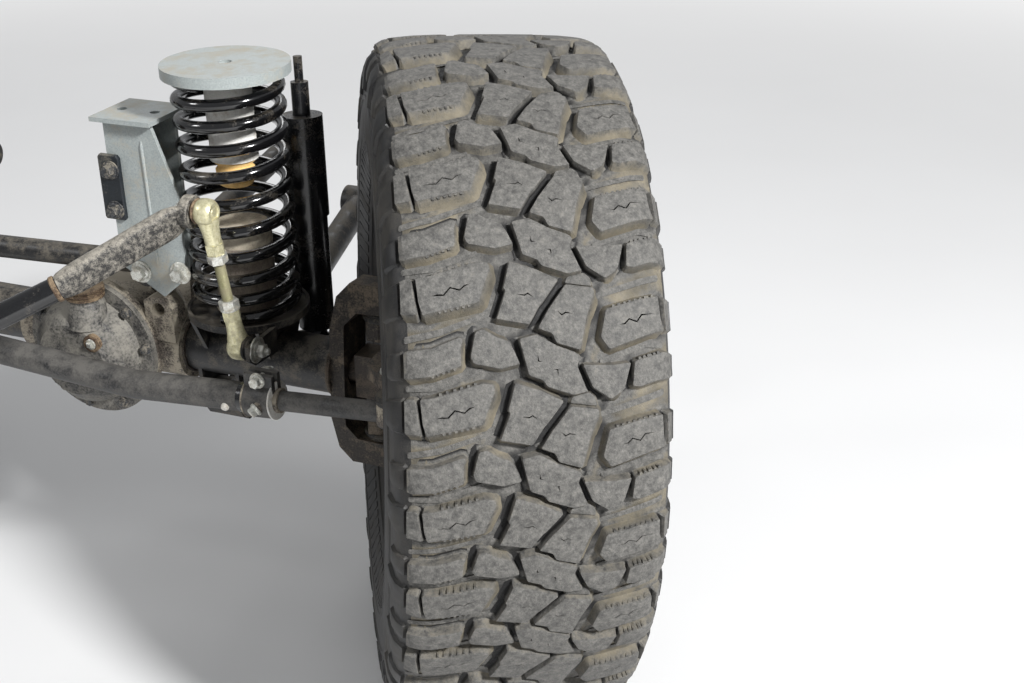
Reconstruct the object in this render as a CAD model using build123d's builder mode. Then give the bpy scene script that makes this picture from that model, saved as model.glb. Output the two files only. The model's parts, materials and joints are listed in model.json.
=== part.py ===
from build123d import *
import os
from math import atan2, cos, degrees, pi, radians, sin

# Front live axle of a lifted off-road 4x4, with its springs, steering and steered wheels.
# X points to the vehicle's left, Y to its rear and Z up. The origin lies midway between
# the upper spring seats, on their top faces. Sizes are in millimetres and degrees, and
# places are given from the axle's middle.

# Stance of the axle
SPRING_X = 520  # spring axis from the vehicle's middle
SEAT_HEIGHT = 405  # top of the upper spring seats above the axle's centre line
KINGPIN_X = 720
CASTER = 5  # kingpins lean back by this angle and have no sideways lean
STEER = 29.35  # both wheels stand steered to the left by this angle
SEAT_GAP = 0.3  # between curved faces that rest on each other
RUNNING = 0.05  # radial play of a pin or journal that turns
OVERLAP = 2  # how far a welded or cast piece reaches into what carries it

# Axle beam
TUBE_R = 38
YOKE_ROOT = 65  # end of an axle tube, inboard of the kingpin
TUBE_END = KINGPIN_X - YOKE_ROOT
DIFF_X = 300  # gear housing's middle, on the left
DIFF_R = 84
DIFF_NECK = 132  # half the housing's width at its tube necks
NECK_R = 50
COVER_R = 100  # rim of the housing and of its cover
COVER_Y = -54  # joint face between housing and cover
COVER_FLANGE = 9
COVER_DEPTH = 56
COVER_DOME_R = 80
COVER_CROWN_R = 52
PINION_Z = -24
PINION_NOSE = 205
NOSE_R = 36
DRUM_END = 84  # rear end of the housing's drum
NOSE_RIBS = 150  # where the ribs run out on the nose
NOSE_RIB_FOOT = 56  # ribs' height on the drum
SADDLE_X = (386, 430)  # cast saddle on the left neck
SADDLE_HIGH = 84
SADDLE_DEEP = 30
SADDLE_BORE_R = 10
PAD_X = 318  # boss for the rubber pad on top of the cover
PAD_Y = -84
PAD_TOP = 88
PAD_R = 22
PAD_FOOT = 40
FLANGE_R = 52
FLANGE_THICK = 10
FLANGE_REACH = 24  # flange's outer face behind the nose
FLANGE_BOLT_R = 40
FLANGE_HOLE_R = 5.2

# Springs
WIRE_R = 8
COIL_R = 65
COIL_TURNS = 10
COIL_EASE = 0.2  # share by which the end turns lie closer than the mean
RUNS_PER_TURN = 10
WIRE_SIDES = 6
PERCH_TOP = 70
PERCH_R = 82
PERCH_LIP = 4
PLATE = 6
TOWER_R = 39
TOWER_TOP = 190
BUMP_TUBE_R = 30
BUMP_TUBE_END = 281
BUMP_R = 25
BUMP_END = 244
SEAT_SKIRT = 14
SEAT_STUD_HOLE = 8.5
SEAT_STUD_DEPTH = 40

# Dampers
DAMPER_LOW = (566, 99, -22)
DAMPER_TOP = (556, 118, 352)
DAMPER_R = 25
DAMPER_BODY = 190  # body's and sleeve's ends above the lower eye
DAMPER_SLEEVE = 330
SLEEVE_R = 28
ROD_R = 12
EYE_R = 20
EYE_BORE_R = 8
STUD_R = 6
STUD_LENGTH = 34

# Anti-roll bar and its links
BAR_R = 15
BAR_Y = -345
BAR_Z = 132
BAR_BEND_R = 60
BAR_BUSH_X = 235
BUSH_R = 27
BUSH_LENGTH = 44
CLAMP_BOLTS_Y = 84
CLAMP_FOOT = 116
CLAMP_HOLE_R = 5.5
BAR_END = (526, -120, 248)
BAR_BEND = (419, -250, 184)
BAR_CORNER = (312, BAR_Y, BAR_Z)
ARM_HIGH = 38  # flattened arm of the bar, across and through
ARM_DEEP = 22
BAR_EYE_R = 21
BAR_EYE = 14
LINK_TOP = (549, -120, 250)
LINK_LOW = (564, -100, 60)
LINK_BALL_R = 17
LINK_BALL = 24
LINK_SHANK_R = 11
LINK_SHANK = 58
LINK_NUT = 12
LINK_ROD_R = 7
LINK_STUD_R = 8
TAB_X = 583

# Arms and track bar
LOWER_ARM_AXLE = (478, 4, -80)
LOWER_ARM_FRAME = (405, 560, 10)
UPPER_ARM_AXLE = (392, 44, 120)
UPPER_ARM_FRAME = (372, 420, 168)
ARM_BOLT_R = 7
ARM_EYE_R = 27
LOWER_ARM_R = 22
UPPER_ARM_R = 17
ARM_BUSH_LENGTH = 52
EAR = 6
CAST_EAR = 12
TRACK_LEFT = (392, -22, 122)
TRACK_RIGHT = (-300, -22, 96)
TRACK_EYE_R = 24
TRACK_TUBE_R = 16
TRACK_BUSH_LENGTH = 50
BRACKET_TOP = 330
BRACKET_IN = 30  # bracket's walls, inboard and outboard of the track bar's bolt
BRACKET_OUT = 70
BRACKET_BACK_OUT = 40
BRACKET_BOLTS_X = 50
BRACKET_TOP_SIDE = 90  # width of the bracket's square top plate
BRACKET_HOLE_R = 6.5

# Steering
BALL_PIN_R = 12
BALL_SEAT_R = 22
SHAFT_R = 17
JOINT_BLOCK = 40
JOINT_HIGH = 62
YOKE_IN = 92
YOKE_OUT = 128
YOKE_HALF = 62  # half the yoke's height at the tube
YOKE_THICK = 64
YOKE_TIP = 40
YOKE_REACH = 26  # yoke's arms, outboard of the kingpin
YOKE_WALL = 21
KNUCKLE_EAR_IN = 54
KNUCKLE_EAR_OUT = 80
KNUCKLE_R = 70
KNUCKLE_IN = 38
KNUCKLE_OUT = 62
STEER_ARM = 168
ARM_Z = 62
ARM_THICK = 18
TIE_BALL_Z = 17
TIE_BALL_R = 20
TIE_R = 19
TIE_END_R = 13
TIE_BEND_X = 342
TIE_BEND_Z = -10
TIE_MIDDLE_Z = 14
TIE_BEND_R = 120
TIE_STUD_R = 9
TIE_CLAMP = 182  # clamp from the left ball, along the rod
CLAMP_LENGTH = 40
CLAMP_WALL = 5
CLAMP_EARS = 14
CLAMP_EAR_THICK = 7
DRAG_FROM_MIDDLE = 560  # drag link's ball on the tie rod, right of the rod's middle
DRAG_RISE = 40  # drag link's ball above the tie rod's line
DRAG_R = 14
DRAG_BALL_R = 19
DRAG_BALL = 26
PITMAN_BALL = (250, -250, 190)
PITMAN_STUD = 32

# Wheels
WHEEL_OUT = 135.5  # wheel's middle plane outboard of the kingpin
FACE_IN = 28  # rim's disc, from and to
FACE_OUT = 46
MOUNT_FACE = -12  # rim's mounting face from the middle plane
MOUNT_R = 84
TYRE_R = 442
TYRE_W = 315
TREAD_W = 268
SIDE_R = 340  # radius at the tyre's widest place
LUG_DEPTH = 11
PITCHES = 23
SIDE_FLATS = 46  # flat fields round each sidewall
PITCH_SHIFT = 0.32  # first lug field from straight up, in pitches
BEAD_R = 215.9
RIM_HALF = 114.3
RIM_LIP_R = 233
RIM_LIP = 12
RIM_WALL = 9.9  # between the bead seat and the barrel's bore
BARREL_R = BEAD_R - RIM_WALL
HUB_JOURNAL_R = 34
HUB_IN = 24
HUB_FLANGE_R = 76
HUB_FLANGE = 102
PILOT_R = 35.7
PILOT_FIT = 0.3
PILOT_OUT = 150
DISC_R = 165
DISC_THICK = 24
DISC_IN = 70
HAT_R = 86
HAT_WALL = 7.5
SHIELD_CUT = 150  # opening of the dust shield for the caliper, its middle from the wheel's axle and depth
SHIELD_CUT_WIDE = 110
CALIPER_IN = 54
CALIPER_WIDE = 56
CALIPER_LOW = 108
CALIPER_HIGH = 186
CALIPER_HALF = 66
PISTON_R = 22
PISTON_AT = (156, 30)
WINDOWS = 8
WINDOW_AT = 156
WINDOW_WIDE = 62
WINDOW_HIGH = 74

AXLE = Plane(origin=(0, 0, -SEAT_HEIGHT))


def at(place):
    """A point given from the axle's middle."""
    return AXLE.from_local_coords(Vector(*place))


def facing(base, place, way):
    """A plane at a place of a base frame. Its sketch lies in X and Y facing up, Y and Z facing
    the side, or X and Z facing front."""
    ways = {
        "up": (base.z_dir, base.x_dir),
        "side": (base.x_dir, base.y_dir),
        "front": (base.y_dir * -1, base.x_dir),
    }
    normal, across = ways[way]
    return Plane(origin=base.from_local_coords(Vector(*place)), x_dir=across, z_dir=normal)


def spun(plane, angle):
    """The plane turned about its own normal."""
    across = plane.x_dir * cos(radians(angle)) + plane.y_dir * sin(radians(angle))
    return Plane(origin=plane.origin, x_dir=across, z_dir=plane.z_dir)


def mirrored(place, side):
    return (side * place[0], place[1], place[2])


KINGPIN = {
    side: Plane(
        origin=at((side * KINGPIN_X, 0, 0)),
        x_dir=(1, 0, 0),
        z_dir=(0, sin(radians(CASTER)), cos(radians(CASTER))),
    )
    for side in (1, -1)
}
STEERED = {side: spun(KINGPIN[side], STEER) for side in (1, -1)}
WHEEL = {
    side: Plane(
        origin=STEERED[side].from_local_coords(Vector(side * WHEEL_OUT, 0, 0)),
        x_dir=STEERED[side].z_dir,
        z_dir=STEERED[side].x_dir * side,
    )
    for side in (1, -1)
}


def rod(start, end, radius, mode=Mode.ADD):
    """A round bar from one point to another."""
    with BuildSketch(Plane(origin=start, z_dir=end - start)) as section:
        Circle(radius)
    extrude(section.sketch, amount=(end - start).length, mode=mode)


def eye(centre, direction, length, radius, mode=Mode.ADD):
    """A round piece centred on a point."""
    half = direction * (length / 2)
    rod(centre - half, centre + half, radius, mode=mode)


def hexagon(start, end, across):
    """A six-sided bar from one point to another."""
    with BuildSketch(Plane(origin=start, z_dir=end - start)) as section:
        RegularPolygon(across / 2, 6, major_radius=False)
    extrude(section.sketch, amount=(end - start).length)


def plate(plane, outline, thickness, mode=Mode.ADD):
    """A flat piece of the given outline, from its plane outwards."""
    with BuildSketch(plane) as section:
        with BuildLine():
            Polyline(*outline, close=True)
        make_face()
    extrude(section.sketch, amount=thickness, mode=mode)


def turned(plane, profile, mode=Mode.ADD):
    """A turned shape about the plane's normal. Profile rows are (along the axis, radius)."""
    half = Plane(origin=plane.origin, x_dir=plane.z_dir, z_dir=plane.y_dir)
    with BuildSketch(half) as section:
        with BuildLine():
            Polyline(*profile, close=True)
        make_face()
    revolve(section.sketch, axis=Axis(plane.origin, plane.z_dir), mode=mode)


def block(plane, width, height, depth, mode=Mode.ADD):
    """A plain block, centred on its plane and rising from it."""
    with BuildSketch(plane) as section:
        Rectangle(width, height)
    extrude(section.sketch, amount=depth, mode=mode)


def from_kingpin(rows):
    """Profile rows given outboard of the kingpin, as rows from the wheel's middle plane."""
    return [(x - WHEEL_OUT, radius) for x, radius in rows]


def finish(piece, label):
    """Labels a finished piece and writes its file."""
    piece.part.label = label
    export_step(piece.part, f"parts/{label}.step")


os.makedirs("parts", exist_ok=True)
LEFTWARD = Vector(1, 0, 0)
REARWARD = Vector(0, 1, 0)
UPWARD = Vector(0, 0, 1)
SIDES = ((1, "left"), (-1, "right"))
ARM_EAR_AT = ARM_BUSH_LENGTH / 2 + SEAT_GAP  # inner face of an ear, from the bush's middle
TRACK_EAR_AT = TRACK_BUSH_LENGTH / 2 + SEAT_GAP

# Axle tubes, each with its spring perch, bump tower and welded brackets
with BuildPart() as tubes:
    for side, hand in SIDES:
        rod(at((DIFF_X + side * DIFF_NECK, 0, 0)), at((side * TUBE_END, 0, 0)), TUBE_R)
        perch = facing(AXLE, (side * SPRING_X, 0, PERCH_TOP), "up")
        turned(perch, [(-PLATE, 0), (-PLATE, PERCH_R), (PERCH_LIP, PERCH_R), (PERCH_LIP, PERCH_R - 4),
                       (0, PERCH_R - 4), (0, 0)])
        rod(at((side * SPRING_X, 0, PERCH_TOP - PLATE)), at((side * SPRING_X, 0, TOWER_TOP)), TOWER_R)
        web = [(-62, PERCH_TOP - PLATE), (-30, 0), (30, 0), (62, PERCH_TOP - PLATE)]
        for web_x in (SPRING_X - 52, SPRING_X + 46):
            plate(facing(AXLE, (side * web_x - EAR / 2, 0, 0), "side"), web, EAR)
        # Two ears under the tube for the lower arm, and two behind it for the damper
        arm_y, arm_z = LOWER_ARM_AXLE[1:]
        eye_y, eye_z = DAMPER_LOW[1:]
        ears = (
            (LOWER_ARM_AXLE[0], ARM_EAR_AT,
             [(arm_y - 34, 0), (arm_y - 30, arm_z), (arm_y - 16, arm_z - 22), (arm_y + 16, arm_z - 22),
              (arm_y + 28, arm_z), (arm_y + 38, 0)]),
            (DAMPER_LOW[0], EYE_R + SEAT_GAP,
             [(0, eye_z - 16), (eye_y, eye_z - 16), (eye_y + 12, eye_z - 6), (eye_y + 12, eye_z + 10),
              (0, TUBE_R - 14)]),
        )
        for ear_x, half_gap, outline in ears:
            for way in (-1, 1):
                inner = side * ear_x + way * (half_gap + EAR / 2) - EAR / 2
                plate(facing(AXLE, (inner, 0, 0), "side"), outline, EAR)
        # Tab for the anti-roll link's lower stud
        low_y, low_z = LINK_LOW[1:]
        tab = [(-48, PERCH_TOP), (-48, TUBE_R - 4), (low_y - 6, low_z - 20), (low_y - 18, low_z - 10),
               (low_y - 18, PERCH_TOP)]
        plate(facing(AXLE, (side * (TAB_X + EAR / 2) - EAR / 2, 0, 0), "side"), tab, EAR)
    # Towers of the right upper arm and of the track bar
    ear_y, ear_z = UPPER_ARM_AXLE[1:]
    outline = [(-28, 0), (ear_y - 22, ear_z + 6), (ear_y - 12, ear_z + 18), (ear_y + 12, ear_z + 18),
               (ear_y + 22, ear_z + 6), (34, 0)]
    for way in (-1, 1):
        inner = -UPPER_ARM_AXLE[0] + way * (ARM_EAR_AT + EAR / 2) - EAR / 2
        plate(facing(AXLE, (inner, 0, 0), "side"), outline, EAR)
    bar_x, bar_y, bar_z = TRACK_RIGHT
    block(facing(AXLE, (bar_x, bar_y, 20), "up"), 68, 2 * (TRACK_EAR_AT + EAR), 14)
    outline = [(-34, 20), (-24, bar_z + 8), (-12, bar_z + 20), (12, bar_z + 20), (24, bar_z + 8), (34, 20)]
    for way in (-1, 1):
        face = bar_y + way * (TRACK_EAR_AT + EAR / 2) + EAR / 2
        plate(facing(AXLE, (bar_x, face, 0), "front"), outline, EAR)
finish(tubes, "axle_tubes")

# Gear housing with its necks, nose, ribs and the cast ears of the left upper arm
with BuildPart() as housing:
    turned(facing(AXLE, (DIFF_X, 0, 0), "front"),
           [(-COVER_Y, 0), (-COVER_Y, COVER_R), (-COVER_Y - 12, COVER_R), (-COVER_Y - 12, DIFF_R),
            (-40, DIFF_R), (-DRUM_END, 60), (-DRUM_END, 0)])
    rod(at((DIFF_X - DIFF_NECK, 0, 0)), at((DIFF_X + DIFF_NECK, 0, 0)), NECK_R)
    rod(at((DIFF_X, DRUM_END - 20, PINION_Z)), at((DIFF_X, PINION_NOSE, PINION_Z)), NOSE_R)
    for way in (-1, 1):
        low_edge = way * (NOSE_R - 16) + PINION_Z
        rib = [(DRUM_END / 2, 2 * low_edge - PINION_Z), (DRUM_END, way * NOSE_RIB_FOOT + PINION_Z),
               (NOSE_RIBS, way * (NOSE_R + 4) + PINION_Z), (NOSE_RIBS, low_edge)]
        plate(facing(AXLE, (DIFF_X - EAR, 0, 0), "side"), rib, 2 * EAR)
    ear_y, ear_z = UPPER_ARM_AXLE[1:]
    ear = [(12, NECK_R - 14), (ear_y - 26, ear_z), (ear_y - 14, ear_z + 20), (ear_y + 10, ear_z + 20),
           (ear_y + 22, ear_z), (NECK_R - 2, 20)]
    for way in (-1, 1):
        inner = UPPER_ARM_AXLE[0] + way * (ARM_EAR_AT + CAST_EAR / 2) - CAST_EAR / 2
        plate(facing(AXLE, (inner, 0, 0), "side"), ear, CAST_EAR)
    # Cast saddle with a bore, on the front of the left neck
    saddle_in, saddle_out = SADDLE_X
    saddle = [(saddle_in, 20), (saddle_in, SADDLE_HIGH - 6), (saddle_in + 12, SADDLE_HIGH),
              (saddle_out - 12, SADDLE_HIGH), (saddle_out, SADDLE_HIGH - 14), (saddle_out, 20)]
    plate(facing(AXLE, (0, SADDLE_DEEP - NECK_R, 0), "front"), saddle, SADDLE_DEEP)
    bore = (saddle_in + 22, 0, (SADDLE_HIGH + NECK_R) / 2)
    eye(at((bore[0], SADDLE_DEEP / 2 - NECK_R, bore[2])), REARWARD, 2 * SADDLE_DEEP, SADDLE_BORE_R,
        mode=Mode.SUBTRACT)
finish(housing, "gear_housing")

with BuildPart() as cover:
    turned(facing(AXLE, (DIFF_X, COVER_Y, 0), "front"),
           [(0, 0), (0, COVER_R), (COVER_FLANGE, COVER_R), (COVER_FLANGE, COVER_DOME_R),
            (COVER_DEPTH - 20, COVER_DOME_R - 8), (COVER_DEPTH, COVER_CROWN_R), (COVER_DEPTH, 0)])
    rod(at((PAD_X, PAD_Y, PAD_FOOT)), at((PAD_X, PAD_Y, PAD_TOP)), PAD_R)
finish(cover, "housing_cover")

with BuildPart() as flange:
    nose = facing(AXLE, (DIFF_X, PINION_NOSE, PINION_Z), "front")
    turned(nose, [(0, 0), (0, 28), (FLANGE_THICK - FLANGE_REACH, 28), (FLANGE_THICK - FLANGE_REACH, FLANGE_R),
                  (-FLANGE_REACH, FLANGE_R), (-FLANGE_REACH, 0)])
    with BuildSketch(nose.offset(-FLANGE_REACH)) as holes:
        with PolarLocations(FLANGE_BOLT_R, 4):
            Circle(FLANGE_HOLE_R)
    extrude(holes.sketch, amount=FLANGE_THICK, mode=Mode.SUBTRACT)
finish(flange, "pinion_flange")

# Forged end yokes with the two ball pins that each knuckle turns on
with BuildPart() as yokes:
    for side, hand in SIDES:
        base = KINGPIN[side]
        arm = [(-YOKE_ROOT, YOKE_HALF), (7 - YOKE_ROOT, YOKE_OUT - 20), (-40, YOKE_OUT),
               (YOKE_REACH, YOKE_OUT),
               (YOKE_REACH, YOKE_IN), (-28, YOKE_IN - 2), (YOKE_WALL - YOKE_ROOT, YOKE_HALF + 10)]
        outline = arm + [(x, -z) for x, z in reversed(arm)]
        half = YOKE_THICK / 2
        plate(facing(base, (0, half, 0), "front"), [(side * x, z) for x, z in outline], YOKE_THICK)
        # Each arm narrows towards its ball pin
        for up in (1, -1):
            for way in (1, -1):
                wedge = [(way * half, up * YOKE_HALF), (way * YOKE_TIP / 2, up * YOKE_OUT),
                         (way * half * 2, up * YOKE_OUT * 1.2), (way * half * 2, up * YOKE_HALF)]
                clear = facing(base, (-YOKE_ROOT * 1.5, 0, 0), "side")
                plate(clear, wedge, YOKE_ROOT * 3, mode=Mode.SUBTRACT)
            tip = up * KNUCKLE_EAR_IN
            collar = up * (KNUCKLE_EAR_OUT + 2)
            root = up * (YOKE_IN + OVERLAP)
            pin = [(tip, 0), (tip, BALL_PIN_R), (collar, BALL_PIN_R), (collar, BALL_SEAT_R),
                   (root, BALL_SEAT_R), (root, 0)]
            turned(facing(base, (0, 0, 0), "up"), pin)
        through = at((side * (TUBE_END + YOKE_WALL + 9), 0, 0))
        rod(at((side * TUBE_END, 0, 0)), through, SHAFT_R + 5, mode=Mode.SUBTRACT)
finish(yokes, "end_yokes")

# Shaft joints between the yokes' arms
with BuildPart() as joints:
    for side, hand in SIDES:
        rod(at((side * TUBE_END, 0, 0)), at((side * (KINGPIN_X - 30), 0, 0)), SHAFT_R)
        inner = side * (KINGPIN_X - 14) - JOINT_BLOCK / 2
        block(facing(AXLE, (inner, 0, 0), "side"), JOINT_BLOCK, JOINT_HIGH, JOINT_BLOCK)
finish(joints, "shaft_joints")

# Coil springs, each a helix of straight runs whose end turns lie closer
coil_low = PERCH_TOP + WIRE_R
coil_rise = SEAT_HEIGHT - PLATE - WIRE_R - coil_low
coils = []
for side, hand in SIDES:
    with BuildPart() as coil:
        runs = COIL_TURNS * RUNS_PER_TURN
        for i in range(runs + 1):
            share = i / runs
            turn = side * 2 * pi * COIL_TURNS * share
            height = coil_low + coil_rise * (share - COIL_EASE * sin(2 * pi * share) / (2 * pi))
            centre = at((side * SPRING_X + COIL_R * sin(turn), -COIL_R * cos(turn), height))
            along = Vector(side * cos(turn), side * sin(turn), 0)
            with BuildSketch(Plane(origin=centre, x_dir=UPWARD, z_dir=along)):
                RegularPolygon(WIRE_R, WIRE_SIDES)
        loft(ruled=True)
    coils.append(coil.part)
with BuildPart() as springs:
    add(coils)
finish(springs, "coil_springs")

# Upper spring seats with their bump tubes, and the foam bump stops in them
with BuildPart() as seats:
    tube_low = BUMP_TUBE_END - SEAT_HEIGHT
    for side, hand in SIDES:
        seat = facing(AXLE, (side * SPRING_X, 0, SEAT_HEIGHT), "up")
        turned(seat, [(0, 0), (0, PERCH_R), (-SEAT_SKIRT, PERCH_R), (-SEAT_SKIRT, PERCH_R - 4),
                      (-PLATE, PERCH_R - 4),
                      (-PLATE, BUMP_TUBE_R), (tube_low, BUMP_TUBE_R), (tube_low, 0)])
        turned(seat, [(0, 0), (0, SEAT_STUD_HOLE), (-SEAT_STUD_DEPTH, SEAT_STUD_HOLE), (-SEAT_STUD_DEPTH, 0)],
               mode=Mode.SUBTRACT)
finish(seats, "spring_seats")

with BuildPart() as bumps:
    drop = BUMP_END - BUMP_TUBE_END
    for side, hand in SIDES:
        turned(facing(AXLE, (side * SPRING_X, 0, BUMP_TUBE_END), "up"),
               [(0, 0), (0, BUMP_R), (drop * 0.45, BUMP_R), (drop * 0.45, BUMP_R - 4),
                (drop * 0.6, BUMP_R - 4),
                (drop * 0.6, BUMP_R - 1), (drop, BUMP_R - 1), (drop, 0)])
finish(bumps, "bump_stops")

# Dampers: eye, body and sleeve, then the rod with its top stud
with BuildPart() as dampers:
    for side, hand in SIDES:
        low = at(mirrored(DAMPER_LOW, side))
        top = at(mirrored(DAMPER_TOP, side))
        along = (top - low).normalized()
        line = Plane(origin=low, x_dir=LEFTWARD, z_dir=along)
        eye(low, LEFTWARD, 2 * EYE_R, EYE_R - 4)
        block(line, EYE_R, EYE_R, DAMPER_R + 4)
        rod(low + along * DAMPER_R, low + along * DAMPER_BODY, DAMPER_R)
        rod(low + along * DAMPER_BODY, low + along * DAMPER_SLEEVE, SLEEVE_R)
        rod(low + along * DAMPER_SLEEVE, top, ROD_R)
        rod(top, top + along * STUD_LENGTH, STUD_R)
        eye(low, LEFTWARD, 2 * EYE_R + 2, EYE_BORE_R, mode=Mode.SUBTRACT)
finish(dampers, "dampers")

# Anti-roll bar: a bent round bar whose ends are forged into flat arms with an eye
with BuildPart() as bar:
    corners = [at(p) for p in (BAR_BEND, BAR_CORNER)] + [at(mirrored(p, -1)) for p in (BAR_CORNER, BAR_BEND)]
    with BuildLine() as bar_line:
        FilletPolyline(*corners, radius=BAR_BEND_R)
    with BuildSketch(Plane(origin=corners[0], z_dir=corners[1] - corners[0])):
        Circle(BAR_R)
    sweep()
    for side, hand in SIDES:
        tip = at(mirrored(BAR_END, side))
        heel = at(mirrored(BAR_BEND, side))
        along = (tip - heel).normalized()
        across = along.cross(UPWARD).normalized()
        reach = (tip - heel).length - BAR_EYE_R + 12
        deep = ARM_DEEP / 2
        high = ARM_HIGH / 2
        edge = [(-high, 4 - deep), (-high, deep - 4), (6 - high, deep), (high - 6, deep), (high, deep - 4),
                (high, 4 - deep),
                (high - 6, -deep), (6 - high, -deep)]
        lift = across.cross(along)
        plate(Plane(origin=heel - along * 8, x_dir=lift, z_dir=along), edge, reach)
        eye(tip, LEFTWARD, BAR_EYE, BAR_EYE_R)
finish(bar, "anti_roll_bar")

with BuildPart() as bar_mounts:
    for side, hand in SIDES:
        with BuildSketch(facing(AXLE, (side * BAR_BUSH_X - BUSH_LENGTH / 2, BAR_Y, BAR_Z), "side")) as saddle:
            Circle(BUSH_R)
            with Locations((0, BUSH_R / 2 + 2)):
                Rectangle(2 * BUSH_R, BUSH_R + 4)
            Circle(BAR_R + SEAT_GAP, mode=Mode.SUBTRACT)
        extrude(saddle.sketch, amount=BUSH_LENGTH)
        with BuildSketch(facing(AXLE, (side * BAR_BUSH_X, BAR_Y, BAR_Z + BUSH_R + 4), "up")) as foot:
            Rectangle(BUSH_LENGTH, CLAMP_FOOT)
            with GridLocations(0, CLAMP_BOLTS_Y, 1, 2):
                Circle(CLAMP_HOLE_R, mode=Mode.SUBTRACT)
        extrude(foot.sketch, amount=5)
finish(bar_mounts, "bar_mounts")

# Links of the anti-roll bar: two rod ends, their lock nuts and a threaded rod, with their studs
with BuildPart() as links:
    for side, hand in SIDES:
        top = at(mirrored(LINK_TOP, side))
        low = at(mirrored(LINK_LOW, side))
        down = (low - top).normalized()
        out = LEFTWARD * side
        for ball, way in ((top, down), (low, down * -1)):
            eye(ball, out, LINK_BALL, LINK_BALL_R)
            rod(ball + way * 8, ball + way * LINK_SHANK, LINK_SHANK_R)
            hexagon(ball + way * LINK_SHANK, ball + way * (LINK_SHANK + LINK_NUT), 2 * LINK_SHANK_R)
        rod(top + down * LINK_SHANK, low - down * LINK_SHANK, LINK_ROD_R)
        rod(top - out * (LINK_TOP[0] - BAR_END[0] - BAR_EYE / 2), top - out * LINK_BALL / 2, LINK_STUD_R)
        rod(low + out * LINK_BALL / 2, low + out * (TAB_X - LINK_LOW[0]), LINK_STUD_R)
finish(links, "bar_links")

# Lower and upper arms, each a tube with a bushed eye at both ends
arm_table = {"lower_arms": (LOWER_ARM_AXLE, LOWER_ARM_FRAME, LOWER_ARM_R),
             "upper_arms": (UPPER_ARM_AXLE, UPPER_ARM_FRAME, UPPER_ARM_R)}
for label, (axle_end, frame_end, radius) in arm_table.items():
    with BuildPart() as arms:
        for side, hand in SIDES:
            ends = [at(mirrored(axle_end, side)), at(mirrored(frame_end, side))]
            along = (ends[1] - ends[0]).normalized()
            rod(ends[0] + along * 12, ends[1] - along * 12, radius)
            for centre in ends:
                eye(centre, LEFTWARD, ARM_BUSH_LENGTH, ARM_EYE_R)
                eye(centre, LEFTWARD, ARM_BUSH_LENGTH, ARM_BOLT_R, mode=Mode.SUBTRACT)
    finish(arms, label)

# Track bar and the frame bracket that carries its left eye
with BuildPart() as track:
    ends = [at(TRACK_LEFT), at(TRACK_RIGHT)]
    rod(ends[0], ends[1], TRACK_TUBE_R)
    for centre in ends:
        eye(centre, REARWARD, TRACK_BUSH_LENGTH, TRACK_EYE_R)
finish(track, "track_bar")

with BuildPart() as bracket:
    bar_x, bar_y, bar_z = TRACK_LEFT
    inboard = bar_x - BRACKET_IN
    for way, out in ((-1, BRACKET_OUT), (1, BRACKET_BACK_OUT)):
        wall = bar_y + way * (TRACK_EAR_AT + EAR / 2) + EAR / 2
        face = [(inboard, bar_z + 6), (bar_x + 32, bar_z - 32), (bar_x + out, bar_z),
                (bar_x + out, bar_z + 120),
                (bar_x + BRACKET_BACK_OUT, BRACKET_TOP), (inboard, BRACKET_TOP)]
        plate(facing(AXLE, (0, wall, 0), "front"), face, EAR)
    with BuildSketch(facing(AXLE, (bar_x + 5, bar_y, BRACKET_TOP), "up")) as top:
        Rectangle(BRACKET_TOP_SIDE, BRACKET_TOP_SIDE)
        with GridLocations(BRACKET_BOLTS_X, 0, 2, 1):
            Circle(BRACKET_HOLE_R, mode=Mode.SUBTRACT)
    extrude(top.sketch, amount=EAR)
    # Side web that ties both walls together
    front, back = bar_y - TRACK_EAR_AT, bar_y + TRACK_EAR_AT
    low = bar_z + TRACK_EYE_R * 2.5
    web = [(front, low), (back, low), (back, BRACKET_TOP), (front, BRACKET_TOP)]
    plate(facing(AXLE, (inboard, 0, 0), "side"), web, EAR)
finish(bracket, "track_bar_bracket")

# Lug rows across the tread: (from, to, lug's start and end as shares of a pitch, lean across the
# row as a share of a pitch)
half_tread = TREAD_W / 2
lug_rows = (
    (-half_tread, -52, 0.32, 0.92, 0.08),
    (-50, 0, 0.30, 0.82, 0.20),
    (4, 52, 0.18, 0.70, 0.20),
    (54, half_tread, 0.08, 0.68, 0.08),
)

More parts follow.
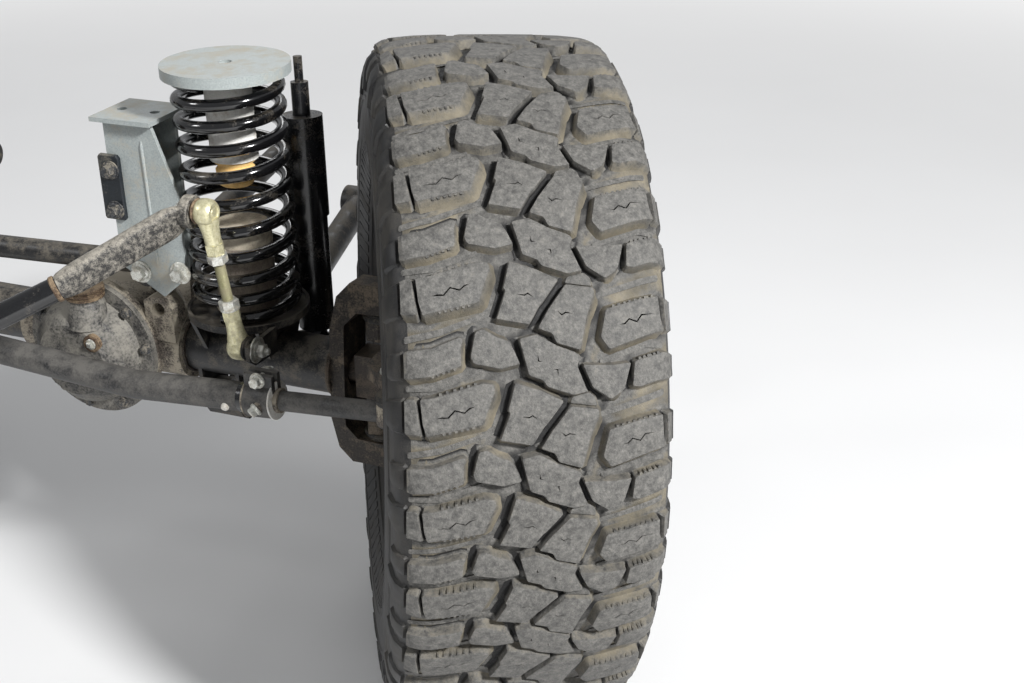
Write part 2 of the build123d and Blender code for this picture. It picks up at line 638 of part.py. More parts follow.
# Steered pieces of each side
for side, hand in SIDES:
    base = STEERED[side]
    wheel = WHEEL[side]

    with BuildPart() as knuckle:
        journal = HUB_JOURNAL_R + RUNNING
        turned(wheel, from_kingpin([(KNUCKLE_IN, journal), (KNUCKLE_IN, KNUCKLE_R), (KNUCKLE_OUT, KNUCKLE_R),
                                    (KNUCKLE_OUT, journal)]))
        for up in (1, -1):
            low, high = sorted((up * KNUCKLE_EAR_IN, up * KNUCKLE_EAR_OUT))
            pin = facing(base, (0, 0, low), "up")
            outer = side * (KNUCKLE_OUT - OVERLAP)
            plate(pin, [(-24 * side, -16), (-10 * side, -24), (outer, -30), (outer, 30), (-10 * side, 24),
                        (-24 * side, 16)], high - low)
            with BuildSketch(pin) as hole:
                Circle(BALL_PIN_R + RUNNING)
            extrude(hole.sketch, amount=high - low, mode=Mode.SUBTRACT)
        arm = [(58, -30), (58, -66), (20, -STEER_ARM), (9, -STEER_ARM - 16), (-9, -STEER_ARM - 16),
               (-20, -STEER_ARM),
               (-30, 30 - STEER_ARM), (-18, 60 - STEER_ARM), (20, -30)]
        plate(facing(base, (0, 0, ARM_Z - ARM_THICK / 2), "up"), [(side * x, y) for x, y in arm], ARM_THICK)
        caliper_face = CALIPER_IN - SEAT_GAP
        ear = [(KNUCKLE_IN, 50), (caliper_face, 50), (caliper_face, 128), (KNUCKLE_IN, 128)]
        for ear_z in (-56, 40):
            plate(facing(base, (0, 0, ear_z), "up"), [(side * x, y) for x, y in ear], 16)
    finish(knuckle, f"knuckle_{hand}")

    with BuildPart() as shield:
        face = KNUCKLE_OUT + SEAT_GAP
        turned(wheel, from_kingpin([(face, KNUCKLE_R - 20), (face, DISC_R - 8), (face + 2, DISC_R - 8),
                                    (face + 2, KNUCKLE_R - 20)]))
        cut = facing(base, (side * (KNUCKLE_OUT - 2), SHIELD_CUT, 0), "side")
        block(cut, SHIELD_CUT_WIDE, SHIELD_CUT, 6 * side, mode=Mode.SUBTRACT)
    finish(shield, f"dust_shield_{hand}")

    with BuildPart() as caliper:
        body = [(CALIPER_LOW, -62), (160, -CALIPER_HALF), (182, -40), (CALIPER_HIGH, 0), (182, 40),
                (160, CALIPER_HALF),
                (CALIPER_LOW, 62)]
        middle = side * (CALIPER_IN + CALIPER_WIDE / 2)
        plate(facing(base, (middle - CALIPER_WIDE / 2, 0, 0), "side"), body, CALIPER_WIDE)
        slot = DISC_THICK + 12
        middle = side * (DISC_IN + DISC_THICK / 2)
        plate(facing(base, (middle - slot / 2, 0, 0), "side"),
              [(90, -80), (DISC_R + 6, -80), (DISC_R + 6, 80), (90, 80)], slot, mode=Mode.SUBTRACT)
        for way in (-1, 1):
            centre = (side * CALIPER_IN, PISTON_AT[0], way * PISTON_AT[1])
            inner = (side * (CALIPER_IN - 14), PISTON_AT[0], way * PISTON_AT[1])
            rod(base.from_local_coords(Vector(*inner)), base.from_local_coords(Vector(*centre)), PISTON_R)
    finish(caliper, f"brake_caliper_{hand}")

    with BuildPart() as hub:
        pilot = PILOT_R - PILOT_FIT
        turned(wheel, from_kingpin([(HUB_IN, 0), (HUB_IN, HUB_JOURNAL_R), (HUB_FLANGE, HUB_JOURNAL_R),
                                    (HUB_FLANGE, HUB_FLANGE_R), (HUB_FLANGE + 14, HUB_FLANGE_R),
                                    (HUB_FLANGE + 14, pilot),
                                    (PILOT_OUT, pilot), (PILOT_OUT, 0)]))
    finish(hub, f"hub_{hand}")

    with BuildPart() as disc:
        hat_out = WHEEL_OUT + MOUNT_FACE
        hat_in = hat_out - HAT_WALL
        turned(wheel, from_kingpin([(DISC_IN, HAT_R - HAT_WALL), (DISC_IN, DISC_R),
                                    (DISC_IN + DISC_THICK, DISC_R),
                                    (DISC_IN + DISC_THICK, HAT_R), (hat_out, HAT_R), (hat_out, PILOT_R),
                                    (hat_in, PILOT_R), (hat_in, HAT_R - HAT_WALL)]))
    finish(disc, f"brake_disc_{hand}")

    with BuildPart() as rim:
        lip = RIM_HALF + RIM_LIP
        turned(wheel, [(-lip, RIM_LIP_R), (-RIM_HALF, RIM_LIP_R), (-RIM_HALF, BEAD_R), (RIM_HALF, BEAD_R),
                       (RIM_HALF, RIM_LIP_R), (lip, RIM_LIP_R), (lip, BARREL_R), (-lip, BARREL_R)])
        turned(wheel, [(MOUNT_FACE, PILOT_R), (MOUNT_FACE, MOUNT_R), (FACE_IN, MOUNT_R),
                       (FACE_IN, BARREL_R + 5),
                       (FACE_OUT, BARREL_R + 5), (FACE_OUT, PILOT_R)])
        with BuildSketch(wheel.offset(FACE_IN)) as windows:
            with PolarLocations(WINDOW_AT, WINDOWS, start_angle=180 / WINDOWS):
                Trapezoid(WINDOW_HIGH, WINDOW_WIDE, 76, rotation=90)
        extrude(windows.sketch, amount=FACE_OUT - FACE_IN, mode=Mode.SUBTRACT)
    finish(rim, f"rim_{hand}")

    with BuildPart() as tyre:
        half_width = TYRE_W / 2
        floor_r = TYRE_R - LUG_DEPTH
        bead = RIM_HALF - SEAT_GAP
        shoulder_r = floor_r - 16
        inner_r = RIM_LIP_R + 3
        # Carcass: a drum under the tread, a sidewall of flat fields on each side, cut back to the bead
        with BuildSketch(wheel.offset(-half_tread)) as drum:
            RegularPolygon(shoulder_r, SIDE_FLATS)
        extrude(drum.sketch, amount=TREAD_W)
        walls = ((half_tread, shoulder_r, half_width, SIDE_R, Mode.ADD),
                 (-half_width, SIDE_R, -bead, inner_r, Mode.SUBTRACT))
        for start, start_r, end, end_r, mode in walls:
            flare = (start_r - end_r) * cos(pi / SIDE_FLATS)
            rightward = base.x_dir * -1
            with BuildSketch(Plane(origin=wheel.origin + rightward * start, x_dir=wheel.x_dir,
                                   z_dir=rightward)) as field:
                RegularPolygon(start_r, SIDE_FLATS)
            wall = extrude(field.sketch, amount=end - start, taper=degrees(atan2(flare, end - start)),
                           mode=Mode.PRIVATE)
            add([wall, wall.rotate(Axis(wheel.origin, wheel.x_dir), 180)], mode=mode)
        rod(wheel.origin - wheel.z_dir * bead, wheel.origin + wheel.z_dir * bead, BEAD_R + SEAT_GAP,
            mode=Mode.SUBTRACT)
        # Tread floor with a flat field for each pitch, and the lugs that stand on the fields
        with BuildSketch(wheel.offset(-half_tread)) as floor:
            RegularPolygon(floor_r, PITCHES, rotation=(PITCH_SHIFT - 0.5) * 360 / PITCHES)
            Circle(floor_r - 40, mode=Mode.SUBTRACT)
        extrude(floor.sketch, amount=TREAD_W)
        half_pitch = pi / PITCHES
        chord = 2 * floor_r * sin(half_pitch)
        lead = 2 * half_pitch * PITCH_SHIFT
        out = wheel.x_dir * cos(lead) + wheel.y_dir * sin(lead)
        field = Plane(origin=wheel.origin + out * (floor_r * cos(half_pitch) - OVERLAP), x_dir=wheel.z_dir,
                      z_dir=out)
        lugs = []
        for start, end, low, high, lean in lug_rows:
            corners = ((start, low - lean / 2), (end, low + lean / 2), (end, high + lean / 2),
                       (start, high - lean / 2))
            with BuildSketch(field) as outline:
                with BuildLine():
                    Polyline(*[(a, (share - 0.5) * chord) for a, share in corners], close=True)
                make_face()
            lug = extrude(outline.sketch, amount=LUG_DEPTH + OVERLAP, mode=Mode.PRIVATE)
            lugs += [lug.rotate(Axis(wheel.origin, wheel.z_dir), i * 360 / PITCHES) for i in range(PITCHES)]
        add(lugs)
    finish(tyre, f"tyre_{hand}")

# Tie rod, from ball to ball under the steering arms, with a clamped sleeve near its left end
ball_left = STEERED[1].from_local_coords(Vector(0, -STEER_ARM, TIE_BALL_Z))
ball_right = STEERED[-1].from_local_coords(Vector(0, -STEER_ARM, TIE_BALL_Z))
middle = (ball_left + ball_right) * 0.5
with BuildPart() as tie:
    sag = UPWARD * (TIE_BEND_Z - TIE_BALL_Z)
    bend_left = middle + LEFTWARD * TIE_BEND_X + sag
    bend_right = middle - LEFTWARD * TIE_BEND_X + sag
    crown = middle + UPWARD * (TIE_MIDDLE_Z - TIE_BALL_Z)
    inward = (bend_left - ball_left).normalized()
    clamp = ball_left + inward * TIE_CLAMP
    with BuildLine():
        FilletPolyline(clamp, bend_left, crown, bend_right, ball_right + LEFTWARD * TIE_BALL_R / 2,
                       radius=TIE_BEND_R)
    with BuildSketch(Plane(origin=clamp, z_dir=inward)):
        Circle(TIE_R)
    sweep()
    rod(ball_left + inward * TIE_BALL_R / 2, clamp, TIE_END_R)
    eye(clamp, inward, CLAMP_LENGTH, TIE_R + CLAMP_WALL)
    for way in (-1, 1):
        foot = clamp + REARWARD * way * CLAMP_EAR_THICK
        block(Plane(origin=foot, x_dir=inward, z_dir=UPWARD), CLAMP_LENGTH, CLAMP_EAR_THICK,
              TIE_R + CLAMP_WALL + CLAMP_EARS)
    drag_share = (KINGPIN_X - DRAG_FROM_MIDDLE) / (KINGPIN_X - TIE_BEND_X)
    drag_foot = middle - LEFTWARD * DRAG_FROM_MIDDLE + sag * drag_share
    drag_ball = drag_foot + UPWARD * DRAG_RISE
    rod(drag_foot, drag_ball - UPWARD * (DRAG_BALL / 2 + SEAT_GAP), TIE_STUD_R)
    rod(drag_foot, drag_ball - UPWARD * (DRAG_BALL / 2 + 7), TIE_R)
    for side, ball in ((1, ball_left), (-1, ball_right)):
        up = STEERED[side].z_dir
        rod(ball - up * 14, ball + up * 16, TIE_BALL_R)
        rod(ball + up * 14, ball + up * (ARM_Z - ARM_THICK / 2 - TIE_BALL_Z - SEAT_GAP), TIE_STUD_R)
finish(tie, "tie_rod")

# Drag link, from its ball on the tie rod to its free end
with BuildPart() as drag:
    ball_free = at(PITMAN_BALL)
    along = (ball_free - drag_ball).normalized()
    rod(drag_ball + along * 15, ball_free, DRAG_R)
    for ball in (drag_ball, ball_free):
        eye(ball, UPWARD, DRAG_BALL, DRAG_BALL_R)
    rod(ball_free, ball_free + UPWARD * (DRAG_BALL / 2 + PITMAN_STUD), TIE_STUD_R)
finish(drag, "drag_link")
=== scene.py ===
import json
import math

import bmesh
import bpy
from mathutils import Matrix, Vector
from mathutils.geometry import delaunay_2d_cdt


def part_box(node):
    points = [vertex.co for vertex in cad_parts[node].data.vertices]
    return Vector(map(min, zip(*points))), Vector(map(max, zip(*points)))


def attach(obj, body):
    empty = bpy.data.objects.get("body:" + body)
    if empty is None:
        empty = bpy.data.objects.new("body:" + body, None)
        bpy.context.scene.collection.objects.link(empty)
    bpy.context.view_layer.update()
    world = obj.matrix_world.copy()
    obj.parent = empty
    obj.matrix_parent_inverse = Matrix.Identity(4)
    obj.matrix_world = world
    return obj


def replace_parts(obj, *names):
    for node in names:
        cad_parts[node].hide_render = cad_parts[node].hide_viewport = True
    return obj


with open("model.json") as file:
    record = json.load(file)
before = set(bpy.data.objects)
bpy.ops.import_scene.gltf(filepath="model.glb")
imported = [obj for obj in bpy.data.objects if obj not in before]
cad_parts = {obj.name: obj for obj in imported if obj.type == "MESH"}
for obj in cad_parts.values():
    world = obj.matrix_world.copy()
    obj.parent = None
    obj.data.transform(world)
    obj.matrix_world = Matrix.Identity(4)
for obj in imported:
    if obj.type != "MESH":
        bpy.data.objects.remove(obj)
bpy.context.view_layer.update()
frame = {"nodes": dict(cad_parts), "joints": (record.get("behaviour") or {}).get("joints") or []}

# Looks of a front live axle with its springs, steering and steered wheels. Places are in
# millimetres from the axle's middle, as in the part's source, and meshes end up in metres.
AXLE_DROP = 405  # axle's middle below the origin
TO_FRAME = Matrix.Scale(0.001, 4) @ Matrix.Translation((0, 0, -AXLE_DROP))
SIDES = ((1, "left"), (-1, "right"))
LEFTWARDS, FORWARDS, UPWARDS = Vector((1, 0, 0)), Vector((0, -1, 0)), Vector((0, 0, 1))


# Small tools

def linear(code):
    """A colour written as sRGB hex, in Blender's linear values."""
    parts = [int(code[i : i + 2], 16) / 255 for i in (1, 3, 5)]
    return [c / 12.92 if c <= 0.04045 else ((c + 0.055) / 1.055) ** 2.4 for c in parts] + [1.0]


def add_node(tree, kind, inputs=None, **settings):
    """A node of a material with its settings. Inputs are values, or sockets to link from."""
    made = tree.nodes.new(kind)
    for name, value in settings.items():
        setattr(made, name, value)
    for name, value in (inputs or {}).items():
        socket = made.inputs[name]
        if isinstance(value, bpy.types.NodeSocket):
            tree.links.new(value, socket)
        else:
            socket.default_value = value
    return made


def new_material(name):
    """An empty node material, its tree and the object coordinates, in metres."""
    made = bpy.data.materials.new(name)
    made.use_nodes = True
    tree = made.node_tree
    tree.nodes.clear()
    return made, tree, add_node(tree, "ShaderNodeTexCoord")


def make_piece(name, bm, materials, body, smooth_angle=35):
    """A finished piece from a bmesh in millimetres, riding on its body."""
    mesh = bpy.data.meshes.new(name)
    bm.to_mesh(mesh)
    bm.free()
    mesh.transform(TO_FRAME)
    for material in materials:
        mesh.materials.append(material)
    mesh.polygons.foreach_set("use_smooth", [True] * len(mesh.polygons))
    mesh.set_sharp_from_angle(angle=math.radians(smooth_angle))
    made = bpy.data.objects.new(name, mesh)
    bpy.context.scene.collection.objects.link(made)
    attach(made, body)
    return made


def basis(origin, along, across=None):
    """A frame at a place whose Z runs along a direction."""
    z = Vector(along).normalized()
    x = Vector(across or (UPWARDS if abs(z.z) < 0.9 else LEFTWARDS))
    x = (x - z * x.dot(z)).normalized()
    turn = Matrix((x, z.cross(x), z)).transposed().to_4x4()
    return Matrix.Translation(origin) @ turn


def heading(points, i):
    """From the point before one of a line's points to the point after it."""
    return points[min(i + 1, len(points) - 1)] - points[max(i - 1, 0)]


def circle(base, radius, steps, height=0.0):
    """Points on a circle about the base's Z."""
    angles = [2 * math.pi * i / steps for i in range(steps)]
    return [base @ Vector((radius * math.cos(a), radius * math.sin(a), height)) for a in angles]


def join_rings(bm, low, high, slot):
    """Faces between two closed rings of vertices. A ring of one vertex is a point."""
    count = max(len(low), len(high))
    for i in range(count):
        j = (i + 1) % count
        corners = []
        for ring, order in ((low, (i, j)), (high, (j, i))):
            corners += ring if len(ring) == 1 else [ring[k] for k in order]
        if len(corners) > 2:
            bm.faces.new(corners).material_index = slot


def cap_ends(bm, rings, slot):
    """Flat faces over the first and the last ring."""
    bm.faces.new(rings[-1]).material_index = slot
    bm.faces.new(list(reversed(rings[0]))).material_index = slot


def lathe(bm, base, profile, steps=32, slot=0, closed=True):
    """A turned shape about the base's Z. Its profile's rows are (along, radius), from the low end
    to the high one. A closed shape gets flat ends down to the axis."""
    if closed:
        start, end = [[(row[0], 0)] if row[1] else [] for row in (profile[0], profile[-1])]
        profile = start + list(profile) + end
    rings = []
    for along, radius in profile:
        points = circle(base, radius, steps, along) if radius else [base @ Vector((0, 0, along))]
        rings.append([bm.verts.new(point) for point in points])
    for low, high in zip(rings, rings[1:]):
        join_rings(bm, low, high, slot)


def prism(bm, base, outline, low, high, chamfer=0.0, slot=0):
    """A straight piece with a flat outline, whose far edge is chamfered."""
    levels = [(low, 0.0), (high - chamfer, 0.0)] + ([(high, chamfer)] if chamfer else [])
    rings = []
    for height, inset in levels:
        ring = offset(outline, [-inset] * len(outline)) if inset else outline
        rings.append([bm.verts.new(base @ Vector((x, y, height))) for x, y in ring])
    for low_ring, high_ring in zip(rings, rings[1:]):
        join_rings(bm, low_ring, high_ring, slot)
    cap_ends(bm, rings, slot)


def tube(bm, points, radii, steps=16, slot=0):
    """A round bar through points. Radii holds one radius for each point."""
    rings = []
    across = None
    for i, (point, radius) in enumerate(zip(points, radii)):
        base = basis(point, heading(points, i), across)
        across = base.to_3x3() @ Vector((1, 0, 0))
        rings.append([bm.verts.new(place) for place in circle(base, radius, steps)])
    for low, high in zip(rings, rings[1:]):
        join_rings(bm, low, high, slot)
    cap_ends(bm, rings, slot)


def offset(points, gaps):
    """A closed outline whose edges are moved outwards, each by its own gap."""
    moved = []
    count = len(points)
    for i in range(count):
        before, here, after = (Vector(points[k % count]) for k in (i - 1, i, i + 1))
        edges = [(end - start).normalized() for start, end in ((before, here), (here, after))]
        first, second = [Vector((edge.y, -edge.x)) for edge in edges]
        gap_in, gap_out = gaps[i - 1], gaps[i]
        cross = first.x * second.y - first.y * second.x
        if abs(cross) < 0.25:  # a nearly straight corner
            step = (first * gap_in + second * gap_out) / 2
        else:
            step = Vector((
                (gap_in * second.y - gap_out * first.y) / cross,
                (gap_out * first.x - gap_in * second.x) / cross,
            ))
            reach = 1.6 * max(abs(gap_in), abs(gap_out))
            if step.length > reach:
                step = step.normalized() * reach
        moved.append((here.x + step.x, here.y + step.y))
    return moved


def hexagon_outline(across, turn=0.0):
    """Corners of a hexagon, by its width across the flats."""
    radius = across / 2 / math.cos(math.pi / 6)
    angles = [turn + math.pi * k / 3 for k in range(6)]
    return [(radius * math.cos(a), radius * math.sin(a)) for a in angles]


# Materials

def noise(tree, place, size_mm, detail, roughness):
    """Noise with patches of about this size."""
    return add_node(tree, "ShaderNodeTexNoise", {
        "Vector": place.outputs["Object"], "Scale": 1000 / size_mm, "Detail": detail,
        "Roughness": roughness}).outputs["Fac"]


def ramp(tree, value, start, end, low=0.0, high=1.0):
    """A value that goes from low to high while another goes from start to end."""
    return add_node(tree, "ShaderNodeMapRange", {
        "Value": value, "From Min": start, "From Max": end,
        "To Min": low, "To Max": high}).outputs[0]


def multiply_add(tree, value, factor, addend):
    return add_node(tree, "ShaderNodeMath", {0: value, 1: factor, 2: addend},
                    operation="MULTIPLY_ADD").outputs[0]


def mix(tree, factor, first, second):
    """A colour between two others."""
    return add_node(tree, "ShaderNodeMix", {"Factor": factor, "A": first, "B": second},
                    data_type="RGBA").outputs["Result"]


def two_tones(tree, value, low, high):
    """A colour that a noise drives from one tone to another."""
    tones = add_node(tree, "ShaderNodeValToRGB", {"Fac": value})
    for stop, position, code in zip(tones.color_ramp.elements, (0.34, 0.66), (low, high)):
        stop.position = position
        stop.color = linear(code)
    return tones.outputs[0]


def rubber_worn_tread():
    """Worn tread rubber: grey scuffed tops, road dust on the lugs' sloping walls and in the wide
    grooves, and near-black painted shade in the narrow slots, the sipes and at steep walls' feet."""
    made, tree, place = new_material("worn_tread_rubber")
    # The "dust" attribute: dust above 0, painted shade below 0
    dust = add_node(tree, "ShaderNodeAttribute", attribute_name="dust").outputs["Fac"]
    mottle = noise(tree, place, 8, 8.0, 0.72)
    grain = noise(tree, place, 1.6, 3.0, 0.6)
    smear = noise(tree, place, 50, 5.0, 0.65)
    chips = noise(tree, place, 2.6, 4.0, 0.7)
    tops = two_tones(tree, mottle, "#3B3A38", "#6C6A66")
    dusts = two_tones(tree, smear, "#47433A", "#7C7463")
    scuffed = add_node(tree, "ShaderNodeVectorMath", {
        0: tops, "Scale": ramp(tree, chips, 0.34, 0.7, 0.76, 1.34)}, operation="SCALE")
    ragged = add_node(tree, "ShaderNodeMath", {0: mottle, 1: 0.5}, operation="SUBTRACT")
    share = multiply_add(tree, ragged.outputs[0], 1.5, dust)
    dusty = mix(tree, ramp(tree, share, 0.15, 0.85), scuffed.outputs[0], dusts)
    # Painted shade: the colour goes near-black where the attribute falls below 0
    with_painted_shade = mix(tree, ramp(tree, dust, -0.1, -0.6), dusty, linear("#0E0D0D"))
    height = multiply_add(tree, mottle, 1.6, grain)
    bump = add_node(tree, "ShaderNodeBump", {"Height": height, "Strength": 0.7, "Distance": 0.0009})
    shader = add_node(tree, "ShaderNodeBsdfPrincipled", {
        "Base Color": with_painted_shade, "Roughness": ramp(tree, mottle, 0.3, 0.7, 0.55, 0.85),
        "Normal": bump.outputs[0], "IOR": 1.52})
    add_node(tree, "ShaderNodeOutputMaterial", {"Surface": shader.outputs[0]})
    return made


def surface(name, tones, dust, share, roughness, metallic=0.0, patch_mm=35, grain_mm=2.0,
            bump_mm=0.2, coat=0.0, lie=0.1, soft=0.16, limit=0.85):
    """A painted, plated or bare surface in two tones with dust in patches. Share is how much of
    it the dust covers, soft the width of the patches' edges, lie how much more lies on what faces
    up and limit how much the thickest dust hides."""
    made, tree, place = new_material(name)
    patches = noise(tree, place, patch_mm, 8.0, 0.7)
    grain = noise(tree, place, grain_mm, 4.0, 0.6)
    normal = add_node(tree, "ShaderNodeSeparateXYZ", {0: place.outputs["Normal"]})
    upward = ramp(tree, normal.outputs["Z"], 0.1, 1.0, 0.0, lie)
    speck = multiply_add(tree, grain, 0.35, patches)
    worn = add_node(tree, "ShaderNodeMath", {0: speck, 1: upward}, operation="ADD")
    edge = 0.83 - 0.31 * share
    cover = ramp(tree, worn.outputs[0], edge - soft / 2, edge + soft / 2, 0.0, limit)
    clean = mix(tree, ramp(tree, grain, 0.32, 0.68), linear(tones[0]), linear(tones[1]))
    bump = add_node(tree, "ShaderNodeBump", {
        "Height": speck, "Strength": 0.5, "Distance": bump_mm / 1000})
    values = {
        "Base Color": mix(tree, cover, clean, linear(dust)),
        "Roughness": ramp(tree, cover, 0.0, 1.0, roughness, 0.88),
        "Normal": bump.outputs[0],
    }
    if metallic:
        values["Metallic"] = ramp(tree, cover, 0.0, 1.0, metallic, 0.1)
    if coat:
        values |= {"Coat Weight": coat, "Coat Roughness": 0.1}
    shader = add_node(tree, "ShaderNodeBsdfPrincipled", values)
    add_node(tree, "ShaderNodeOutputMaterial", {"Surface": shader.outputs[0]})
    return made


worn_tread = rubber_worn_tread()
# Moulded sidewall rubber: near-black with a soft shine and a thin dusting
sidewall = surface("moulded_sidewall_rubber", ("#171718", "#232324"), "#55514A", 0.22, 0.5,
                   patch_mm=60, grain_mm=1.5, bump_mm=0.15, lie=0.05, soft=0.3, limit=0.6)
# Gloss black stoving enamel of the coils: deep black, sharp highlights, hardly any dust
coil_enamel = surface("gloss_black_enamel", ("#070708", "#0E0E10"), "#5E574C", 0.02, 0.14,
                      coat=0.7, bump_mm=0.05, lie=0.08, limit=0.6)
# Gloss black powder coat of the bar: a soft orange-peel shine
bar_enamel = surface("gloss_black_powder_coat", ("#0A0A0C", "#121315"), "#6E675C", 0.0, 0.2,
                     grain_mm=3, bump_mm=0.08, coat=0.6, lie=0.0, limit=0.4)
# The same coat on the bar's arms, sand-blasted by the road: matt with beige specks
bar_scuffed = surface("scuffed_powder_coat", ("#121213", "#3B3937"), "#A8A296", 0.2, 0.5,
                      patch_mm=6, grain_mm=1.3, bump_mm=0.3, lie=0.2, soft=0.3)
# Satin black chassis paint: dull, dust in patches
chassis_black = surface("satin_black_chassis_paint", ("#131314", "#242425"), "#6B655B", 0.25, 0.4)
# Black paint of the tie rod's tube: satin, with a grey film of fine dust
rod_black = surface("dusty_black_tube_paint", ("#19191A", "#2E2E2F"), "#6C6964", 0.42, 0.42,
                    patch_mm=24, grain_mm=2.5, soft=0.3, limit=0.7)
# Sand-cast iron: coarse skin, grey-brown with rust and dust
cast_iron = surface("sand_cast_iron", ("#332F2B", "#786F66"), "#AEA594", 0.45, 0.6, metallic=0.3,
                    patch_mm=26, grain_mm=2.5, bump_mm=0.6, lie=0.12)
# The same iron darkened as painted shade, for the yokes and knuckles that sit in shadow: less dust,
# brown rust
shade_darkened_casting = surface("rusty_shade_darkened_casting", ("#1D1A18", "#413B35"), "#75695A", 0.26, 0.6,
                       metallic=0.3, patch_mm=26, grain_mm=2.5, bump_mm=0.6)
# Painted cover of the gear housing: black paint rubbed grey by stones and mud
cover_paint = surface("stone_chipped_cover_paint", ("#1F1F1E", "#5B5957"), "#8B877E", 0.38, 0.5,
                      patch_mm=34, grain_mm=3.2, bump_mm=0.3, lie=0.12, soft=0.24)
# Forged steel left bare: dark brown oxide
forged_steel = surface("forged_steel", ("#26221F", "#3F3832"), "#6A5F52", 0.3, 0.5, metallic=0.5,
                       bump_mm=0.4)
# Yellow zinc plate: pale green-gold passivate with duller patches
yellow_zinc = surface("yellow_zinc_plate", ("#C2BB90", "#EEE9C8"), "#A7A186", 0.25, 0.36,
                      metallic=0.6, patch_mm=14, grain_mm=2.4, bump_mm=0.06, lie=0.04)
# The same plate on the link's threaded rod, gone olive and dull in the thread
olive_zinc = surface("olive_thread_plate", ("#7E7B5C", "#A9A582"), "#8E886F", 0.3, 0.45,
                     metallic=0.4, patch_mm=10, grain_mm=1.6, bump_mm=0.08)
# White zinc plate of bolts and nuts: bright, slightly blue, grimy in places
white_zinc = surface("white_zinc_plate", ("#B4B4AC", "#F0F0E9"), "#9C9483", 0.3, 0.32,
                     metallic=0.7, patch_mm=8, grain_mm=1.6, bump_mm=0.05, lie=0.03)
# Dark zinc of small bolts that have gone dull under dust
dull_bolt = surface("dull_dark_zinc", ("#2F3033", "#5A5C5F"), "#8A8376", 0.35, 0.45, metallic=0.6,
                    patch_mm=9, grain_mm=1.5, bump_mm=0.08, lie=0.05)
# Grey paint of the folded bracket: blue-grey, satin
sheet_grey = surface("grey_painted_sheet", ("#8C9393", "#A7ADAB"), "#A39D8F", 0.18, 0.42,
                     patch_mm=40, bump_mm=0.1, lie=0.06)
# Dark electrocoat of the strap: bluish black, satin
strap_coat = surface("electrocoated_strap", ("#14181C", "#1F252B"), "#6B675E", 0.12, 0.35,
                     bump_mm=0.06)
# Zinc-flake coating of the bump tube: pale matt grey
tube_flake = surface("zinc_flake_coating", ("#DEDCD6", "#F4F2EC"), "#BDB6A8", 0.2, 0.55,
                     patch_mm=22, grain_mm=2.5, bump_mm=0.1)
# Dust-caked paint of the bump towers: brown-grey down the side, beige near the top
tower_dust = surface("dust_caked_paint", ("#8A7E72", "#AFA294"), "#B9AE9D", 0.4, 0.75,
                     patch_mm=18, bump_mm=0.3)
tower_beige = surface("dry_mud_film", ("#DACDB5", "#EFE5D0"), "#AFA28C", 0.2, 0.85, patch_mm=16,
                      bump_mm=0.3)
# Turned grey iron of the brake disc: bright swept face with rust on what the pads miss
disc_iron = surface("turned_grey_iron", ("#77736E", "#A19E99"), "#6A4A36", 0.34, 0.34,
                    metallic=0.85, grain_mm=1.2, bump_mm=0.05, lie=0.0)
# Microcellular foam of the bump stop: warm yellow, matt and finely pored
stop_foam = surface("microcellular_foam", ("#EDB866", "#FBDB9C"), "#C09F6C", 0.08, 0.85,
                    patch_mm=12, grain_mm=1.4, bump_mm=0.35)
# Black rubber of bushes and boots: matt with a little dust in its folds
soft_rubber = surface("bush_rubber", ("#121212", "#212120"), "#5A544B", 0.3, 0.65, patch_mm=14)
# Rubber gone brown with mud
muddy_rubber = surface("mud_stained_rubber", ("#3A2D22", "#5F4B39"), "#8E7B62", 0.35, 0.75,
                       patch_mm=12, bump_mm=0.25)
# Rim in satin black wheel paint
rim_paint = surface("satin_black_rim_paint", ("#121315", "#1B1C1E"), "#4F4A43", 0.14, 0.3,
                    coat=0.3, bump_mm=0.06, lie=0.04, soft=0.3, limit=0.6)
# Chromed wheel nuts and the polished ring of the cap
chrome = surface("chrome_plate", ("#C4C6C8", "#D8DADB"), "#77736B", 0.1, 0.1, metallic=1.0,
                 bump_mm=0.02, limit=0.5)
# Moulded plastic of the centre cap: finely grained satin black
cap_plastic = surface("grained_black_plastic", ("#151516", "#1F1F20"), "#55514A", 0.15, 0.42,
                      grain_mm=1.2, bump_mm=0.1)
# Damper tube in gloss black paint
damper_paint = surface("damper_tube_paint", ("#0F1012", "#1A1B1E"), "#5F584E", 0.06, 0.25,
                       coat=0.3, bump_mm=0.08)
# Brake dust shield: zinc-coated sheet gone dull
shield_sheet = surface("dull_zinc_sheet", ("#3C3C3B", "#565654"), "#6A6257", 0.3, 0.5,
                       metallic=0.5, bump_mm=0.1)

NODE_FINISH = {
    "axle_tubes": chassis_black, "gear_housing": cast_iron, "housing_cover": cover_paint,
    "pinion_flange": forged_steel, "end_yokes": shade_darkened_casting, "shaft_joints": forged_steel,
    "coil_springs": coil_enamel, "spring_seats": sheet_grey, "bump_stops": stop_foam,
    "dampers": damper_paint, "anti_roll_bar": bar_enamel, "bar_mounts": soft_rubber,
    "bar_links": yellow_zinc, "lower_arms": chassis_black, "upper_arms": chassis_black,
    "track_bar": chassis_black, "track_bar_bracket": sheet_grey, "tie_rod": rod_black,
    "drag_link": rod_black,
}
for _, hand in SIDES:
    NODE_FINISH |= {
        f"knuckle_{hand}": shade_darkened_casting, f"dust_shield_{hand}": shield_sheet,
        f"brake_caliper_{hand}": cast_iron, f"hub_{hand}": forged_steel,
        f"brake_disc_{hand}": disc_iron, f"rim_{hand}": rim_paint, f"tyre_{hand}": sidewall,
    }
for name, finish in NODE_FINISH.items():
    node = frame["nodes"][name]
    node.data.materials.clear()
    node.data.materials.append(finish)

